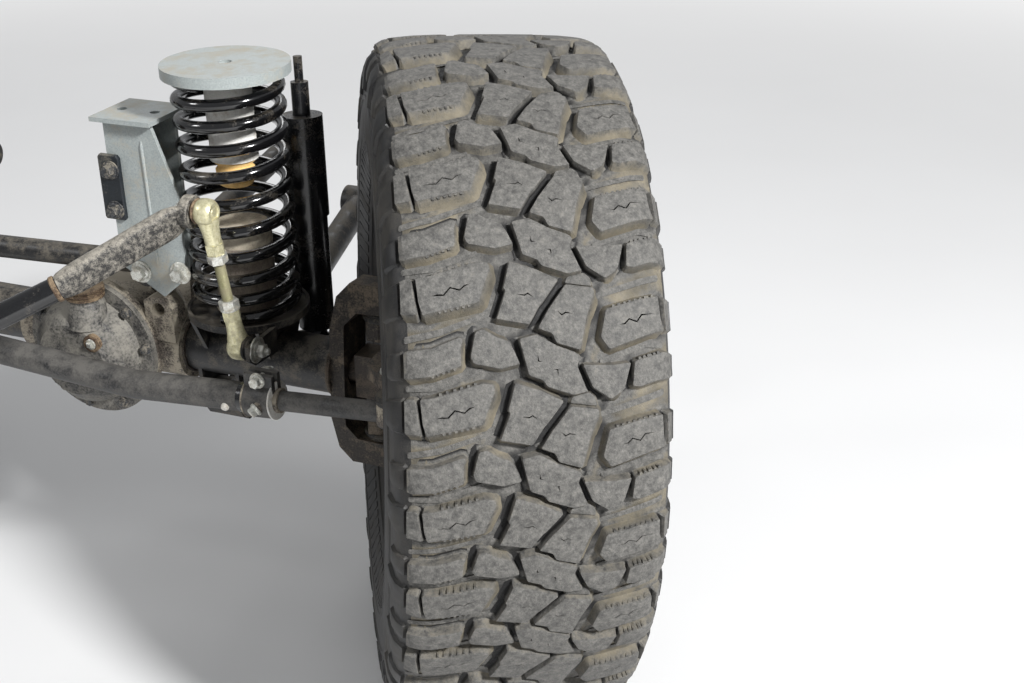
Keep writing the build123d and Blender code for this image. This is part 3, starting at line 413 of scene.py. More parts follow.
# Camera, from the fit of the photographed tyre and link: place, direction, roll and focal length
EYE = Vector((1486.23, -1497.17, 855.55))
YAW, PITCH, ROLL = (math.radians(angle) for angle in (-21.31, 25.83, -0.64))
FOCAL_PX, WIDTH_PX, SENSOR = 1410, 1024, 36.0
ahead, fall = math.cos(PITCH), math.sin(PITCH)
forward = Vector((math.sin(YAW) * ahead, math.cos(YAW) * ahead, -fall))
level = forward.cross(UPWARDS).normalized()
lifted = level.cross(forward)
right = level * math.cos(ROLL) + lifted * math.sin(ROLL)
above = lifted * math.cos(ROLL) - level * math.sin(ROLL)
lens = bpy.data.cameras.new("photo_camera")
lens.sensor_width = SENSOR
lens.lens = FOCAL_PX * SENSOR / WIDTH_PX
camera = bpy.data.objects.new("photo_camera", lens)
turn = Matrix((right, above, -forward)).transposed().to_4x4()
camera.matrix_world = Matrix.Translation(TO_FRAME @ EYE) @ turn
bpy.context.scene.collection.objects.link(camera)
bpy.context.scene.camera = camera

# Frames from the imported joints. A wheel's X lies along its axle to the tyre's outer side and its Z
# up the kingpin. A knuckle's Z is the kingpin and its X lies along the axle, to the left
joints = {joint["name"]: joint for joint in frame["joints"]}
FROM_FRAME, METRES = TO_FRAME.inverted(), Matrix.Scale(0.001, 4)
WHEEL, STEERED = {}, {}
for side, hand in SIDES:
    spin, steer = joints[f"wheel_{hand}_spin"], joints[f"steer_{hand}"]
    outward, upward = Vector(spin["axis"]) * side, Vector(steer["axis"])
    upward = (upward - outward * upward.dot(outward)).normalized()
    turn = Matrix((outward, upward.cross(outward), upward)).transposed().to_4x4()
    WHEEL[side] = FROM_FRAME @ Matrix.Translation(spin["pos_m"]) @ turn @ METRES
    STEERED[side] = FROM_FRAME @ basis(steer["pos_m"], steer["axis"], spin["axis"]) @ METRES

# Tread: blocks in one pitch, as (across the tread from its middle, along it, reach of the wall's
# foot)
PITCH_MM = 127.5
TREAD_BLOCKS = {
    "inner_big": [(-117.5, -25.5, 9), (-59, -14, 10), (-54, 0.6, 10), (-46, 20.6, 6), (-47, 28, 3),
        (-58, 30, 3), (-109, 16, 2), (-121, 15, 1)],
    "inner_edge": [(-135.6, -23, 7), (-120.5, -24.5, 1), (-126, 15, 2), (-135, 15, 2)],
    "inner_small": [(-134, 36, 6), (-110, 38, 6), (-80, 48, 5), (-79.6, 68, 4), (-77, 75, 1.5),
        (-80, 78, 1.5), (-110, 67, 1.5), (-134, 65.6, 2)],
    "inner_pentagon": [(-67, 50, 3), (-39, 43.6, 3), (-19, 48, 1), (-25, 63, 1), (-30, 72, 4),
        (-43, 77, 4), (-56, 85.6, 1.5), (-64, 83, 1), (-70, 57, 1)],
    "centre_inner": [(-42, -32, 3.5), (-7.6, -39, 1), (5, -18.5, 1), (7, -17, 1), (26, 8, 1),
        (22, 10, 3.5), (2, 20, 3.5), (-25, 29, 1), (-33, -0.4, 1), (-30.5, -2, 1), (-40.4, -29, 1)],
    "centre_outer": [(1, -43, 2), (16, -49, 1), (20, -59, 3), (45, -67, 6), (54, -31, 8),
        (63, -7.4, 4), (62, -1.4, 3), (33, 2.6, 1), (15, -21, 1), (13, -23.5, 1)],
    "centre_z": [(-10, 36, 2), (5, 30, 1), (9, 23.5, 2.5), (36, 14, 3), (52, 17, 1), (50, 20.5, 1),
        (41, 44, 1), (44.5, 54, 2), (40, 58, 2), (20, 66, 1.5), (12, 71, 1.5), (-1, 78, 2),
        (-19, 74, 1)],
    "outer_pentagon": [(57, 21, 1), (76, 8, 5), (88, 16, 2), (91, 22, 1), (98, 46, 2), (80, 44, 2),
        (47, 45, 1)],
    "outer_big": [(67, -54.4, 4), (76, -67.4, 5), (124, -51, 6), (134, -49, 1), (131, -11, 4),
        (108, -15.4, 4), (74, -25, 3)],
    "outer_edge": [(138.5, -48.5, 3), (150, -47.5, 3), (150, -12, 3), (136, -11.5, 1)],
    "outer_small": [(99, 21, 3), (108, 20, 4), (125, 25.6, 4), (150, 28, 3), (150, 54, 3),
        (133, 56, 3), (102, 47, 1)],
}
# Sipes, the fine zigzag cuts in the tops
SIPES = {
    "inner_big": [[(-108, -6), (-101, -5), (-94.4, -5.2), (-88, 2.4), (-78, -0.4), (-73, 4),
                   (-66, 6.4)]],
    "centre_inner": [[(-20, -6.6), (-11, -8), (-7.6, -6), (-1, -11)]],
    "centre_outer": [[(21.6, -24.4), (27, -29.8), (31, -27.4), (39, -29)]],
    "centre_z": [[(-0.4, 57), (0.4, 50.4), (5, 49.6)], [(15, 41.6), (20, 41), (20.6, 34)]],
    "outer_big": [[(88, -41.8), (93, -41), (98, -36), (106.4, -39), (112, -31.8), (124, -30.4)]],
}
# Low pieces on the groove floor, with their height: ledges in the cross grooves and a tie
FLOOR_BLOCKS = [
    (1.6, [(-137, 81, 2), (-102, 87, 2), (-47, 105, 2), (-48, 100.5, 1), (-101, 81, 1),
           (-137, 74.5, 1)]),
    (1.6, [(-137, 28, 2), (-106, 29, 2), (-57, 45, 2), (-58, 40, 1), (-106, 23, 1),
           (-137, 22.5, 1)]),
    (1.6, [(67, 50, 1), (118, 67, 1), (138, 66, 1), (138, 61, 2), (119, 62, 2), (68, 45.5, 2)]),
    (1.6, [(61, -8, 1), (118, 10, 1), (138, 15.5, 1), (138, 9, 2), (119, 4, 2), (62, -13, 2)]),
    (6.5, [(33, 5, 2), (62, 1, 2), (60, 11, 2), (54, 16, 2), (36, 12, 2)]),
]
# Rows of teeth on the lugs' edges: from, to, number, reach, side of the row they point to
TEETH = [
    ((-105, 17.5), (-62, 28.8), 6, 2.6, 1),
    ((-102, -23.2), (-66, -16), 6, 1.8, -1),
    ((-112, 37.5), (-84, 46.3), 5, 1.8, -1),
    ((127, -12), (80, -23.5), 8, 2.6, -1),
    ((130, 55), (106, 48.5), 5, 2.4, -1),
]
# Fine ribs and raised rings of the sidewall, by their reach from the tread's middle
RIB_REACH, RIBS_PER_PITCH = (256, 290), 4
RING_REACH = ((199, 1.8), (246, 1.2), (300, 1.6))
# Blocks of the shoulders that run down the sidewalls
BITERS = [
    (4.4, [(-189, -20, 2.5), (-141, -24, 2.5), (-141, 14, 2.5), (-189, 9, 2.5)]),
    (4.0, [(-172, 38, 2.5), (-141, 36, 2.5), (-141, 65, 2.5), (-172, 62, 2.5)]),
    (4.4, [(154, -47, 2.5), (191, -42, 2.5), (191, -15, 2.5), (154, -12, 2.5)]),
    (4.0, [(154, 28, 2.5), (174, 31, 2.5), (174, 51, 2.5), (154, 54, 2.5)]),
]
# Pitch lengths differ round a tread so that it doesn't hum: short, middle and long ones
PITCH_ORDER = "SMLLLLMSMLLMSMLLSMLMSLS"
PITCH_SHARE = {"S": 0.866, "M": 1.0, "L": 1.051}
FIRST_PITCH = -12.7  # where the first starts, in degrees above the tread's foremost line
TREAD_TOP, SHOULDER_TOP = 11.5, 3.8  # height of the lugs on the tread and over the shoulders
SHOULDER_START, SHOULDER_SPAN = 130, 19  # reach where the lugs get lower, and over what way
STEEP_FOOT, SLOT_SHADE = 1.6, 6.5  # steep walls' feet reach less, and the width of the strip of painted shade before them
FOOT_GAP = 0.4  # how high steep walls' feet stand off the floor, and how deep others sink in
EDGE_ROUND = 0.9  # rounding of the blocks' top edges
SIPE_HALF, SIPE_DEPTH = 0.9, 5.0
LONGEST_EDGE, STEP = 13.0, 11.0  # what is longer is divided, so that it follows the curve
TOOTH_FOOT, TOOTH_TIP = 2, 1.1  # half widths of a tooth where it meets its lug and at its tip
# Dust and painted shade on the tread: 1 is a full film of dust and 0 none, and below that the rubber
# is darkened with painted shade
TOP_DUST, EDGE_DUST = 0.0, (0.12, 0.3)
# Painted shade on steep walls, on the strips before them and at the bottoms of the sipes
SLOT_WALL_SHADE, FOOT_STRIP_SHADE, SIPE_SHADE = -0.7, -0.9, -1.0
FULL_FOOT, LEAST_FOOT = 5, 1.2  # reach of a fully dusty wall's foot, and the most that the foot of a wall with painted shade reaches
NARROW, OPEN, NARROW_FLOOR_SHADE, OPEN_DUST = 7, 19, -0.6, 0.75  # grooves' widths, painted shade on a narrow one's floor and dust on an open one's
FLOOR_PROFILE = [  # floor of the tread and the sidewall, as (across, radius)
    (0, 430.4), (30, 430.3), (60, 430), (90, 429), (118, 426.4), (133, 422), (144, 413.5),
    (149, 402), (151, 385), (152.8, 365), (155.6, 345), (156, 330), (154, 308), (148, 288),
    (139, 266), (129, 248), (122, 239), (116, 235),
]
BEAD_X, BEAD_R = 113, 216.6  # inner corners of the beads
RING_FOOT, RING_TOP, RING_ROOM = 3.6, 2.2, 4.5  # half widths of a raised ring and of its room
DIVISIONS = 12  # parts of the carcass in each pitch
TREAD_REACH, DUSTY_REACH = 140, 150  # how far tread rubber and the dust in the grooves go


def profile_place(reach, height):
    """A point of the tyre's cross-section: reach along the floor from the middle, height off it."""
    side = -1 if reach < 0 else 1
    left = abs(reach)
    for (x0, r0), (x1, r1) in zip(FLOOR_PROFILE, FLOOR_PROFILE[1:]):
        length = math.hypot(x1 - x0, r1 - r0)
        if left <= length:
            break
        left -= length
    share = left / length
    x, r = x0 + (x1 - x0) * share, r0 + (r1 - r0) * share
    normal = Vector((r0 - r1, x1 - x0)).normalized()
    return side * (x + normal.x * height), r + normal.y * height


def pitch_angles():
    """Where each pitch starts, in degrees, and where the last one ends."""
    shares = [PITCH_SHARE[k] for k in PITCH_ORDER]
    scale = 360 / sum(shares)
    angles = [FIRST_PITCH]
    for share in shares:
        angles.append(angles[-1] + share * scale)
    return angles


PITCHES = len(PITCH_ORDER)
PITCH_ANGLES = pitch_angles()


def wrap(reach, pitch, height):
    """A point of the tyre in the wheel's frame. Pitch counts pitches from the first."""
    whole = math.floor(pitch)
    turns, index = divmod(whole, PITCHES)
    low, high = PITCH_ANGLES[index], PITCH_ANGLES[index + 1]
    angle = math.radians(low + (high - low) * (pitch - whole) + 360 * turns)
    x, r = profile_place(reach, height)
    return Vector((x, -r * math.cos(angle), r * math.sin(angle)))


def add_point(bm, dust_and_shade_layer, reach, pitch, height, dust):
    """A vertex of the tyre with its dust, which below 0 is painted shade."""
    vert = bm.verts.new(wrap(reach, pitch, height))
    vert[dust_and_shade_layer] = dust
    return vert


def top_height(reach):
    """Height of the lugs: full on the tread, less over the shoulders."""
    over = min(max((abs(reach) - SHOULDER_START) / SHOULDER_SPAN, 0), 1)
    return TREAD_TOP * (1 - over) + SHOULDER_TOP * over


def cut_corners(rows, cut=1.4):
    """The outline with each corner taken off, as (across, along) and reaches of the feet."""
    points, feet = [], []
    count = len(rows)
    for i in range(count):
        before, here, after = (Vector(rows[k % count][:2]) for k in (i - 1, i, i + 1))
        for other in (before, after):
            gap = other - here
            points.append(tuple(here + gap.normalized() * min(cut, gap.length * 0.3)))
        feet += [(rows[i - 1][2] + rows[i][2]) / 2, rows[i][2]]
    return points, feet


def divided(points, parts):
    """Points along a closed outline's edges, each a share of an edge."""
    count = len(points)
    ends = [(Vector(points[i]), Vector(points[(i + 1) % count]), share) for i, share in parts]
    return [tuple(start.lerp(end, share)) for start, end, share in ends]


def inside(point, outline):
    """True if a flat point lies in a closed outline."""
    hit = False
    for i in range(len(outline)):
        (x0, y0), (x1, y1) = outline[i - 1], outline[i]
        if (y0 > point.y) != (y1 > point.y):
            if point.x < (x1 - x0) * (point.y - y0) / (y1 - y0) + x0:
                hit = not hit
    return hit


def cut_top(rim, sipes):
    """A block's top inside its rim, with sipes. Gives rows of points, each with its number in the
    rim, or None, and its depth, and the faces."""
    flat, depths, edges = list(rim), [0.0] * len(rim), []
    for sipe in sipes:
        line = [Vector(point) for point in sipe]
        rails = {0: [], 1: [], -1: []}  # bottom of the cut and its two edges
        for i, point in enumerate(line):
            ahead = heading(line, i).normalized()
            across = Vector((-ahead.y, ahead.x)) * SIPE_HALF
            end = i in (0, len(line) - 1)
            for way, rail in rails.items():
                if way == 0 or not end:
                    flat.append(tuple(point + across * way))
                    depths.append(0.0 if way or end else SIPE_DEPTH)
                rail.append(len(flat) - 1)
        for way in (1, -1, 0):
            edges += zip(rails[way], rails[way][1:])
    lows, highs = [[pick(point[k] for point in flat) for k in (0, 1)] for pick in (min, max)]
    columns, lines = [int((high - low) / STEP) for low, high in zip(lows, highs)]
    for a in range(1, columns + 1):
        for b in range(1, lines + 1):
            point = Vector((lows[0] + a * STEP, lows[1] + b * STEP))
            if inside(point, rim) and all((point - Vector(other)).length > 4 for other in flat):
                flat.append(tuple(point))
                depths.append(0.0)
    points, _, faces, origins, _, _ = delaunay_2d_cdt(
        [Vector(point) for point in flat], edges, [list(range(len(rim)))], 1, 1e-5)
    rows = []
    for point, origin in zip(points, origins):
        source = origin[0] if origin else None
        in_rim = source if source is not None and source < len(rim) else None
        rows.append((point, in_rim, depths[source] if source is not None else 0.0))
    return rows, faces


def add_block(bm, dust_and_shade_layer, rows, pitch, height=None, sipes=(), slot=0):
    """A tread block: rounded top edge, walls with their own slopes, and sipes cut into the top.
    Without a height it is a lug, as high as the tread, with a strip of painted shade on the floor
    at the foot of its steep walls."""
    outline, feet = cut_corners(rows)
    count = len(outline)
    rim = EDGE_ROUND if height is None else min(EDGE_ROUND, height * 0.35)
    levels = [  # outwards from the outline, share of the height, depth below that, dust (painted shade below 0)
        ([-rim] * count, 1, 0, TOP_DUST),
        ([-0.3 * rim] * count, 1, 0.3 * rim, EDGE_DUST[0]),
        ([0] * count, 1, rim, EDGE_DUST[1]),
        ([0.9 * foot for foot in feet], 0.12, 0, None),
        ([foot + 1.0 for foot in feet], 0, 0, None),
    ]
    # A lug's last ring lies on the floor with painted shade: wide before steep walls, narrow
    # elsewhere
    if height is None:
        shades = [foot + (SLOT_SHADE if foot < STEEP_FOOT else 1.2) for foot in feet]
        levels.append((shades, 0, 0, FOOT_STRIP_SHADE))
    parts = []
    for i, start in enumerate(outline):
        length = (Vector(outline[(i + 1) % count]) - Vector(start)).length
        pieces = max(1, math.ceil(length / LONGEST_EDGE))
        parts += [(i, k / pieces) for k in range(pieces)]
    rings = []
    for gaps, share, below, dust in levels:
        ring = []
        for (i, _), (x, along) in zip(parts, divided(offset(outline, gaps), parts)):
            foot, full = feet[i], top_height(x) if height is None else height
            lift = full * share - below
            if share == 0:
                lift = FOOT_GAP if foot < STEEP_FOOT and height is None else -FOOT_GAP
            # Walls get dust by their slope; steep ones get painted shade instead
            if dust is None:
                wall_dust_and_shade = min(1.0, foot / FULL_FOOT) if foot > LEAST_FOOT else SLOT_WALL_SHADE
            else:
                wall_dust_and_shade = dust
            ring.append(add_point(bm, dust_and_shade_layer, x, pitch + along / PITCH_MM, lift, wall_dust_and_shade))
        rings.append(ring)
    for high, low in zip(rings, rings[1:]):
        join_rings(bm, low, high, slot)
    points, faces = cut_top(divided(offset(outline, [-rim] * count), parts), sipes)
    verts = []
    for point, in_rim, deep in points:
        if in_rim is not None:
            verts.append(rings[0][in_rim])
            continue
        full = top_height(point.x) if height is None else height
        # The bottom of a sipe gets painted shade
        verts.append(add_point(bm, dust_and_shade_layer, point.x, pitch + point.y / PITCH_MM, full - deep,
                               SIPE_SHADE if deep else TOP_DUST))
    for corners in faces:
        face = [verts[k] for k in corners]
        if len(set(face)) == len(face):
            bm.faces.new(face).material_index = slot


def add_column(bm, dust_and_shade_layer, corners, pitch, low, high, dusts, slot=0):
    """A small four-sided piece: a tooth of a lug or a rib of the sidewall."""
    area = sum(x0 * y1 - x1 * y0 for (x0, y0), (x1, y1) in zip(corners, corners[1:] + corners[:1]))
    if area < 0:
        corners = corners[::-1]
    rings = [[add_point(bm, dust_and_shade_layer, x, pitch + along / PITCH_MM, height, dust)
              for x, along in corners] for height, dust in zip((low, high), dusts)]
    join_rings(bm, *rings, slot)
    bm.faces.new(rings[1]).material_index = slot


def add_teeth(bm, dust_and_shade_layer, pitch):
    """The rows of teeth on the lugs' edges."""
    for start, end, number, reach, way in TEETH:
        line = Vector(end) - Vector(start)
        along = line.normalized()
        out = Vector((-along.y, along.x)) * way
        for k in range(number):
            centre = Vector(start) + line * (k + 0.5) / number
            tip = centre + out * reach
            corners = [centre - along * TOOTH_FOOT - out, tip - along * TOOTH_TIP,
                       tip + along * TOOTH_TIP, centre + along * TOOTH_FOOT - out]
            add_column(bm, dust_and_shade_layer, corners, pitch, 0, TREAD_TOP - 1.0, (0.8, 0.2))


def add_ribs(bm, dust_and_shade_layer, pitch):
    """The fine ribs round both sidewalls."""
    low, high = RIB_REACH
    spacing = PITCH_MM / RIBS_PER_PITCH
    for side in (1, -1):
        for k in range(RIBS_PER_PITCH):
            middle, half = spacing * (k + 0.5), spacing * 0.3
            corners = [(side * reach, middle + half * way)
                       for reach, way in ((low, -1), (high, -1), (high, 1), (low, 1))]
            add_column(bm, dust_and_shade_layer, corners, pitch, -1, 0.9, (0, 0), 1)


def floor_dust_and_shade(reach, along):
    """Dust on the groove floor where it lies open, and painted shade in the narrow slots between
    lugs.
    """
    gaps = []
    for rows in TREAD_BLOCKS.values():
        nearest = 99.0
        for shift in (-PITCH_MM, 0, PITCH_MM):
            for (x0, y0, foot), (x1, y1, _) in zip(rows, rows[1:] + rows[:1]):
                start, end = Vector((x0, y0 + shift)), Vector((x1, y1 + shift))
                edge = end - start
                point = Vector((reach, along)) - start
                part = min(max(point.dot(edge) / edge.length_squared, 0), 1)
                nearest = min(nearest, (point - edge * part).length - foot)
        gaps.append(nearest)
    width = sum(sorted(gaps)[:2])
    share = min(max((width - NARROW) / (OPEN - NARROW), 0), 1)
    return NARROW_FLOOR_SHADE + (OPEN_DUST - NARROW_FLOOR_SHADE) * share


def carcass_line():
    """The tyre's section from bead to bead, as (reach, height), with the raised rings."""
    reaches, total = [], 0.0
    for (x0, r0), (x1, r1) in zip(FLOOR_PROFILE, FLOOR_PROFILE[1:]):
        length = math.hypot(x1 - x0, r1 - r0)
        steps = max(1, round(length / STEP))
        reaches += [(total + length * k / steps, 0.0) for k in range(steps)]
        total += length
    reaches.append((total, 0.0))
    for ring, lift in RING_REACH:
        reaches = [row for row in reaches if abs(row[0] - ring) > RING_ROOM]
        reaches += [(ring - RING_FOOT, 0.0), (ring - RING_TOP, lift), (ring + RING_TOP, lift),
                    (ring + RING_FOOT, 0.0)]
    reaches.sort()
    return [(-reach, lift) for reach, lift in reversed(reaches[1:])] + reaches


def add_carcass(bm, dust_and_shade_layer):
    """The floor of the tread, the sidewalls and the beads."""
    line = carcass_line()
    # Dust and painted shade on the groove floor, by its width
    dusts = [[floor_dust_and_shade(reach, PITCH_MM * k / DIVISIONS) if abs(reach) < DUSTY_REACH else 0.0
              for reach, _ in line] for k in range(DIVISIONS)]
    rings = []
    for k in range(PITCHES * DIVISIONS):
        pitch = k / DIVISIONS
        ring = [add_point(bm, dust_and_shade_layer, reach, pitch, lift, dust)
                for (reach, lift), dust in zip(line, dusts[k % DIVISIONS])]
        crown = wrap(0, pitch, 0)
        around = Vector((0, crown.y, crown.z)).normalized() * BEAD_R
        rings.append(ring + [bm.verts.new(Vector((x, 0, 0)) + around) for x in (BEAD_X, -BEAD_X)])
    for here, after in zip(rings, rings[1:] + rings[:1]):
        for i in range(len(here)):
            j = (i + 1) % len(here)
            face = bm.faces.new((here[i], here[j], after[j], after[i]))
            face.material_index = 0 if i < len(line) and abs(line[i][0]) < TREAD_REACH else 1


def tyre_mesh():
    """One tyre in the wheel's frame, its tread's middle at the origin."""
    bm = bmesh.new()
    # The "dust" attribute holds dust, and below 0 painted shade
    dust_and_shade_layer = bm.verts.layers.float.new("dust")
    for pitch in range(PITCHES):
        for name, rows in TREAD_BLOCKS.items():
            add_block(bm, dust_and_shade_layer, rows, pitch, sipes=SIPES.get(name, ()))
        for height, rows in FLOOR_BLOCKS:
            add_block(bm, dust_and_shade_layer, rows, pitch, height)
        for height, rows in BITERS:
            add_block(bm, dust_and_shade_layer, rows, pitch, height, slot=1)
        add_teeth(bm, dust_and_shade_layer, pitch)
        add_ribs(bm, dust_and_shade_layer, pitch)
    add_carcass(bm, dust_and_shade_layer)
    return bm


tyre = tyre_mesh()
for side, hand in SIDES:
    own = tyre.copy()
    own.transform(WHEEL[side])
    piece = make_piece(f"tyre_tread_{hand}", own, [worn_tread, sidewall], f"wheel_{hand}", 32)
    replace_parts(piece, f"tyre_{hand}")
tyre.free()

# Places and radii of the axle's pieces, in millimetres from its middle
SPRING_X, SPRING_SEAT, COIL_R, WIRE_R = 520, 405, 65, 8
COIL_TURNS, COIL_EASE, COIL_LOW, COIL_HIGH = 10, 0.2, 78, 391
TOWER_R, TOWER_TOP, BUMP_TUBE_R, BUMP_TUBE_END, BUMP_END = 39, 190, 30, 281, 244
BAR_TIP, BAR_HEEL = Vector((526, -120, 248)), Vector((419, -250, 184))
BAR_CORNER, BAR_MIDDLE = Vector((312, -345, 132)), Vector((0, -345, 132))
BAR_R, BAR_CORNER_R, BAR_EYE_R, BAR_EYE = 15, 60, 21, 14
LINK_TOP, LINK_LOW = Vector((549, -120, 250)), Vector((564, -100, 60))
LINK_SHANK, LINK_NUT, TAB_X, PLATE = 58, 12, 583, 6
BRACKET_FACE, STRAP_THICK = -53.3, 5.5
COVER_X, COVER_FACE, COVER_CROWN, COVER_BOLTS, COVER_BOLT_R = 300, -63, -110, 10, 90
KNUCKLE_EAR, KNUCKLE_INNER, STEER_ARM, ARM_UNDER, ARM_OVER, TIE_BALL_Z = 80, 54, 168, 53, 71, 17
WHEEL_NUTS, NUT_CIRCLE_R = 5, 63.5
SKIN = 0.4  # how far a sleeve stands over the plainer piece that it covers


def mirrored(place, side):
    """A place of the left side, or its mirror image on the right."""
    return Vector((side * place[0], place[1], place[2]))


def rounded_path(corners, radius, step=4.0):
    """Points along straight lines whose inner corners are arcs, about a step apart."""
    rows = [corners[0]]
    for before, here, after in zip(corners, corners[1:], corners[2:]):
        back, ahead = (before - here).normalized(), (after - here).normalized()
        half = back.angle(ahead) / 2
        reach = radius / math.tan(half)
        centre = here + (back + ahead).normalized() * radius / math.sin(half)
        start, end = here + back * reach - centre, here + ahead * reach - centre
        count = max(2, math.ceil(radius * (math.pi - 2 * half) / step))
        arc = [start.slerp(end, k / count).normalized() * radius for k in range(count + 1)]
        rows += [centre + spoke for spoke in arc]
    return rows + [corners[-1]]


def sweep_sections(bm, rows, steps=28):
    """A bar whose section changes on its way. Rows are (place, along, thin direction, half height,
    half thickness, squareness, slot)."""
    rings = []
    for place, along, thin, high, deep, square, _ in rows:
        thin = (thin - along * thin.dot(along)).normalized()
        lift = thin.cross(along)
        ring = []
        for k in range(steps):
            c, s = math.cos(2 * math.pi * k / steps), math.sin(2 * math.pi * k / steps)
            x = math.copysign(abs(c) ** (2 / square), c) * deep
            y = math.copysign(abs(s) ** (2 / square), s) * high
            ring.append(bm.verts.new(place + thin * x + lift * y))
        rings.append(ring)
    slots = [row[-1] for row in rows]
    for low, high, low_slot, high_slot in zip(rings, rings[1:], slots, slots[1:]):
        join_rings(bm, low, high, max(low_slot, high_slot))
    for ring, slot in ((rings[0], slots[0]), (rings[-1], slots[-1])):
        bm.faces.new(ring).material_index = slot
    bmesh.ops.recalc_face_normals(bm, faces=bm.faces)


def thread(low, high, radius, pitch=1.5):
    """Lathe rows of a thread's crests and roots."""
    root = radius - 0.45 * pitch
    rows = []
    for k in range(int((high - low) / pitch)):
        rows += [(low + k * pitch, root), (low + (k + 0.5) * pitch, radius)]
    return rows + [(high, root)]


def add_bolt(bm, base, across, slot=0, washer=0.0, tip=0.0):
    """A flanged hexagon head on the base's plane, or with a tip a nut on its thread."""
    foot = -0.3
    if washer:
        lathe(bm, base, [(foot, washer), (1.5, washer), (2, washer - 0.5)], 32, slot)
        foot = 1.7
    lathe(bm, base, [(foot, 0.7 * across), (foot + 0.1 * across, 0.7 * across),
                     (foot + 0.22 * across, 0.52 * across)], 32, slot)
    low, high = foot + 0.18 * across, foot + 0.72 * across
    prism(bm, base, hexagon_outline(across, 0.3), low, high, 0.07 * across, slot)
    if tip:
        root = foot + 0.7 * across
        rows = thread(root, tip - 1, 0.3 * across)
        lathe(bm, base, [(root, 0)] + rows + [(tip, 0.2 * across)], 20, slot)


# Coil springs with round wire, on the helix of the part's source
coils = bmesh.new()
COIL_STEPS = 40 * COIL_TURNS
for side, _ in SIDES:
    points = []
    for i in range(COIL_STEPS + 1):
        share = i / COIL_STEPS
        angle = side * 2 * math.pi * COIL_TURNS * share
        ease = COIL_EASE * math.sin(2 * math.pi * share) / (2 * math.pi)
        height = COIL_LOW + (COIL_HIGH - COIL_LOW) * (share - ease)
        x, y = side * SPRING_X + COIL_R * math.sin(angle), -COIL_R * math.cos(angle)
        points.append(Vector((x, y, height)))
    tube(coils, points, [WIRE_R] * len(points), steps=14)
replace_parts(make_piece("wound_coil_springs", coils, [coil_enamel], "axle"), "coil_springs")

# Inside each coil: the pale bump tube, the foam stop with its folds and the dust-caked tower
stops, sleeves = bmesh.new(), bmesh.new()
FOLDS = [(BUMP_END, 20), (246, 22.5), (251, 24), (254, 21.5), (257, 21.5), (260, 25), (266, 25.5),
         (269, 22.5), (272, 22.5), (275, 26), (BUMP_TUBE_END, 26.5), (BUMP_TUBE_END + 1, 0)]
SKIRT, TRUNK = BUMP_TUBE_R + SKIN, TOWER_R + SKIN
SLEEVES = (  # bump tube with its rolled lip, the tower's side, and its beige top
    [(BUMP_TUBE_END - 1, SKIRT + 1.2), (BUMP_TUBE_END + 3, SKIRT + 1.2), (BUMP_TUBE_END + 5, SKIRT),
     (SPRING_SEAT - 7, SKIRT)],
    [(72, TRUNK + 3), (76, TRUNK + 1), (82, TRUNK), (150, TRUNK), (152, TRUNK + 0.8),
     (157, TRUNK + 0.8), (159, TRUNK), (166, TRUNK)],
    [(165.5, TRUNK + 0.2), (186, TRUNK + 0.2), (TOWER_TOP, TRUNK - 3), (TOWER_TOP + 0.5, 20)],
)
for side, _ in SIDES:
    upright = Matrix.Translation((side * SPRING_X, 0, 0))
    lathe(stops, upright, FOLDS, 40)
    for slot, profile in enumerate(SLEEVES):
        lathe(sleeves, upright, profile, 48, slot)
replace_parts(make_piece("folded_foam_stops", stops, [stop_foam], "axle", 50), "bump_stops")
make_piece("bump_tubes_and_towers", sleeves, [tube_flake, tower_dust, tower_beige], "axle")

# Anti-roll bar: round and glossy in the middle, arms forged flat and scuffed, an eye at each tip
bar = bmesh.new()
half_path = rounded_path([BAR_HEEL, BAR_CORNER, BAR_MIDDLE], BAR_CORNER_R)
arm_along = (BAR_TIP - BAR_HEEL).normalized()
arm_thin = arm_along.cross(UPWARDS).normalized()
ARM_SECTIONS = (  # share of the arm from its tip, half height, half thickness, squareness, turn
    (0.045, 15, 5.5, 3.4, 1.0), (0.10, 19, 6.5, 3.6, 0.85), (0.16, 20, 9, 3.8, 0.5),
    (0.23, 19.3, 10.8, 4, 0.15), (0.32, 19, 11, 4, 0), (0.6, 18.6, 11.2, 4, 0),
    (0.82, 18.4, 11.6, 3.8, 0), (0.9, 18, 12.6, 3.2, 0), (0.97, 16.6, 14, 2.4, 0))
rows = []
for share, high, deep, square, to_eye in ARM_SECTIONS:
    thin = arm_thin.lerp(LEFTWARDS, to_eye)
    rows.append((BAR_TIP.lerp(BAR_HEEL, share), -arm_along, thin, high, deep, square, 1))
for i, place in enumerate(half_path):
    ahead = heading(half_path, i).normalized()
    rows.append((place, ahead, ahead.cross(-UPWARDS), BAR_R, BAR_R, 2, 0))
far_rows = [(mirrored(place, -1), -mirrored(along, -1), mirrored(thin, -1), *section)
            for place, along, thin, *section in reversed(rows[:-1])]
sweep_sections(bar, rows + far_rows)
half = BAR_EYE / 2
for side, _ in SIDES:
    lathe(bar, basis(mirrored(BAR_TIP, side), (side, 0, 0)), [
        (-half, 19.5), (1.5 - half, BAR_EYE_R), (half - 1.5, BAR_EYE_R), (half, 19.5)], 40, 1)
    # Collar where the round bar ends, with a rusty edge
    collar = basis(mirrored(BAR_HEEL, side), mirrored(BAR_CORNER - BAR_HEEL, side))
    lathe(bar, collar, [(1, 15.6), (2, 16.6), (6, 16.6), (7.5, 15.4)], 40, 2)
BAR_FINISHES = [bar_enamel, bar_scuffed, muddy_rubber]
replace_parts(make_piece("forged_roll_bar", bar, BAR_FINISHES, "axle"), "anti_roll_bar")

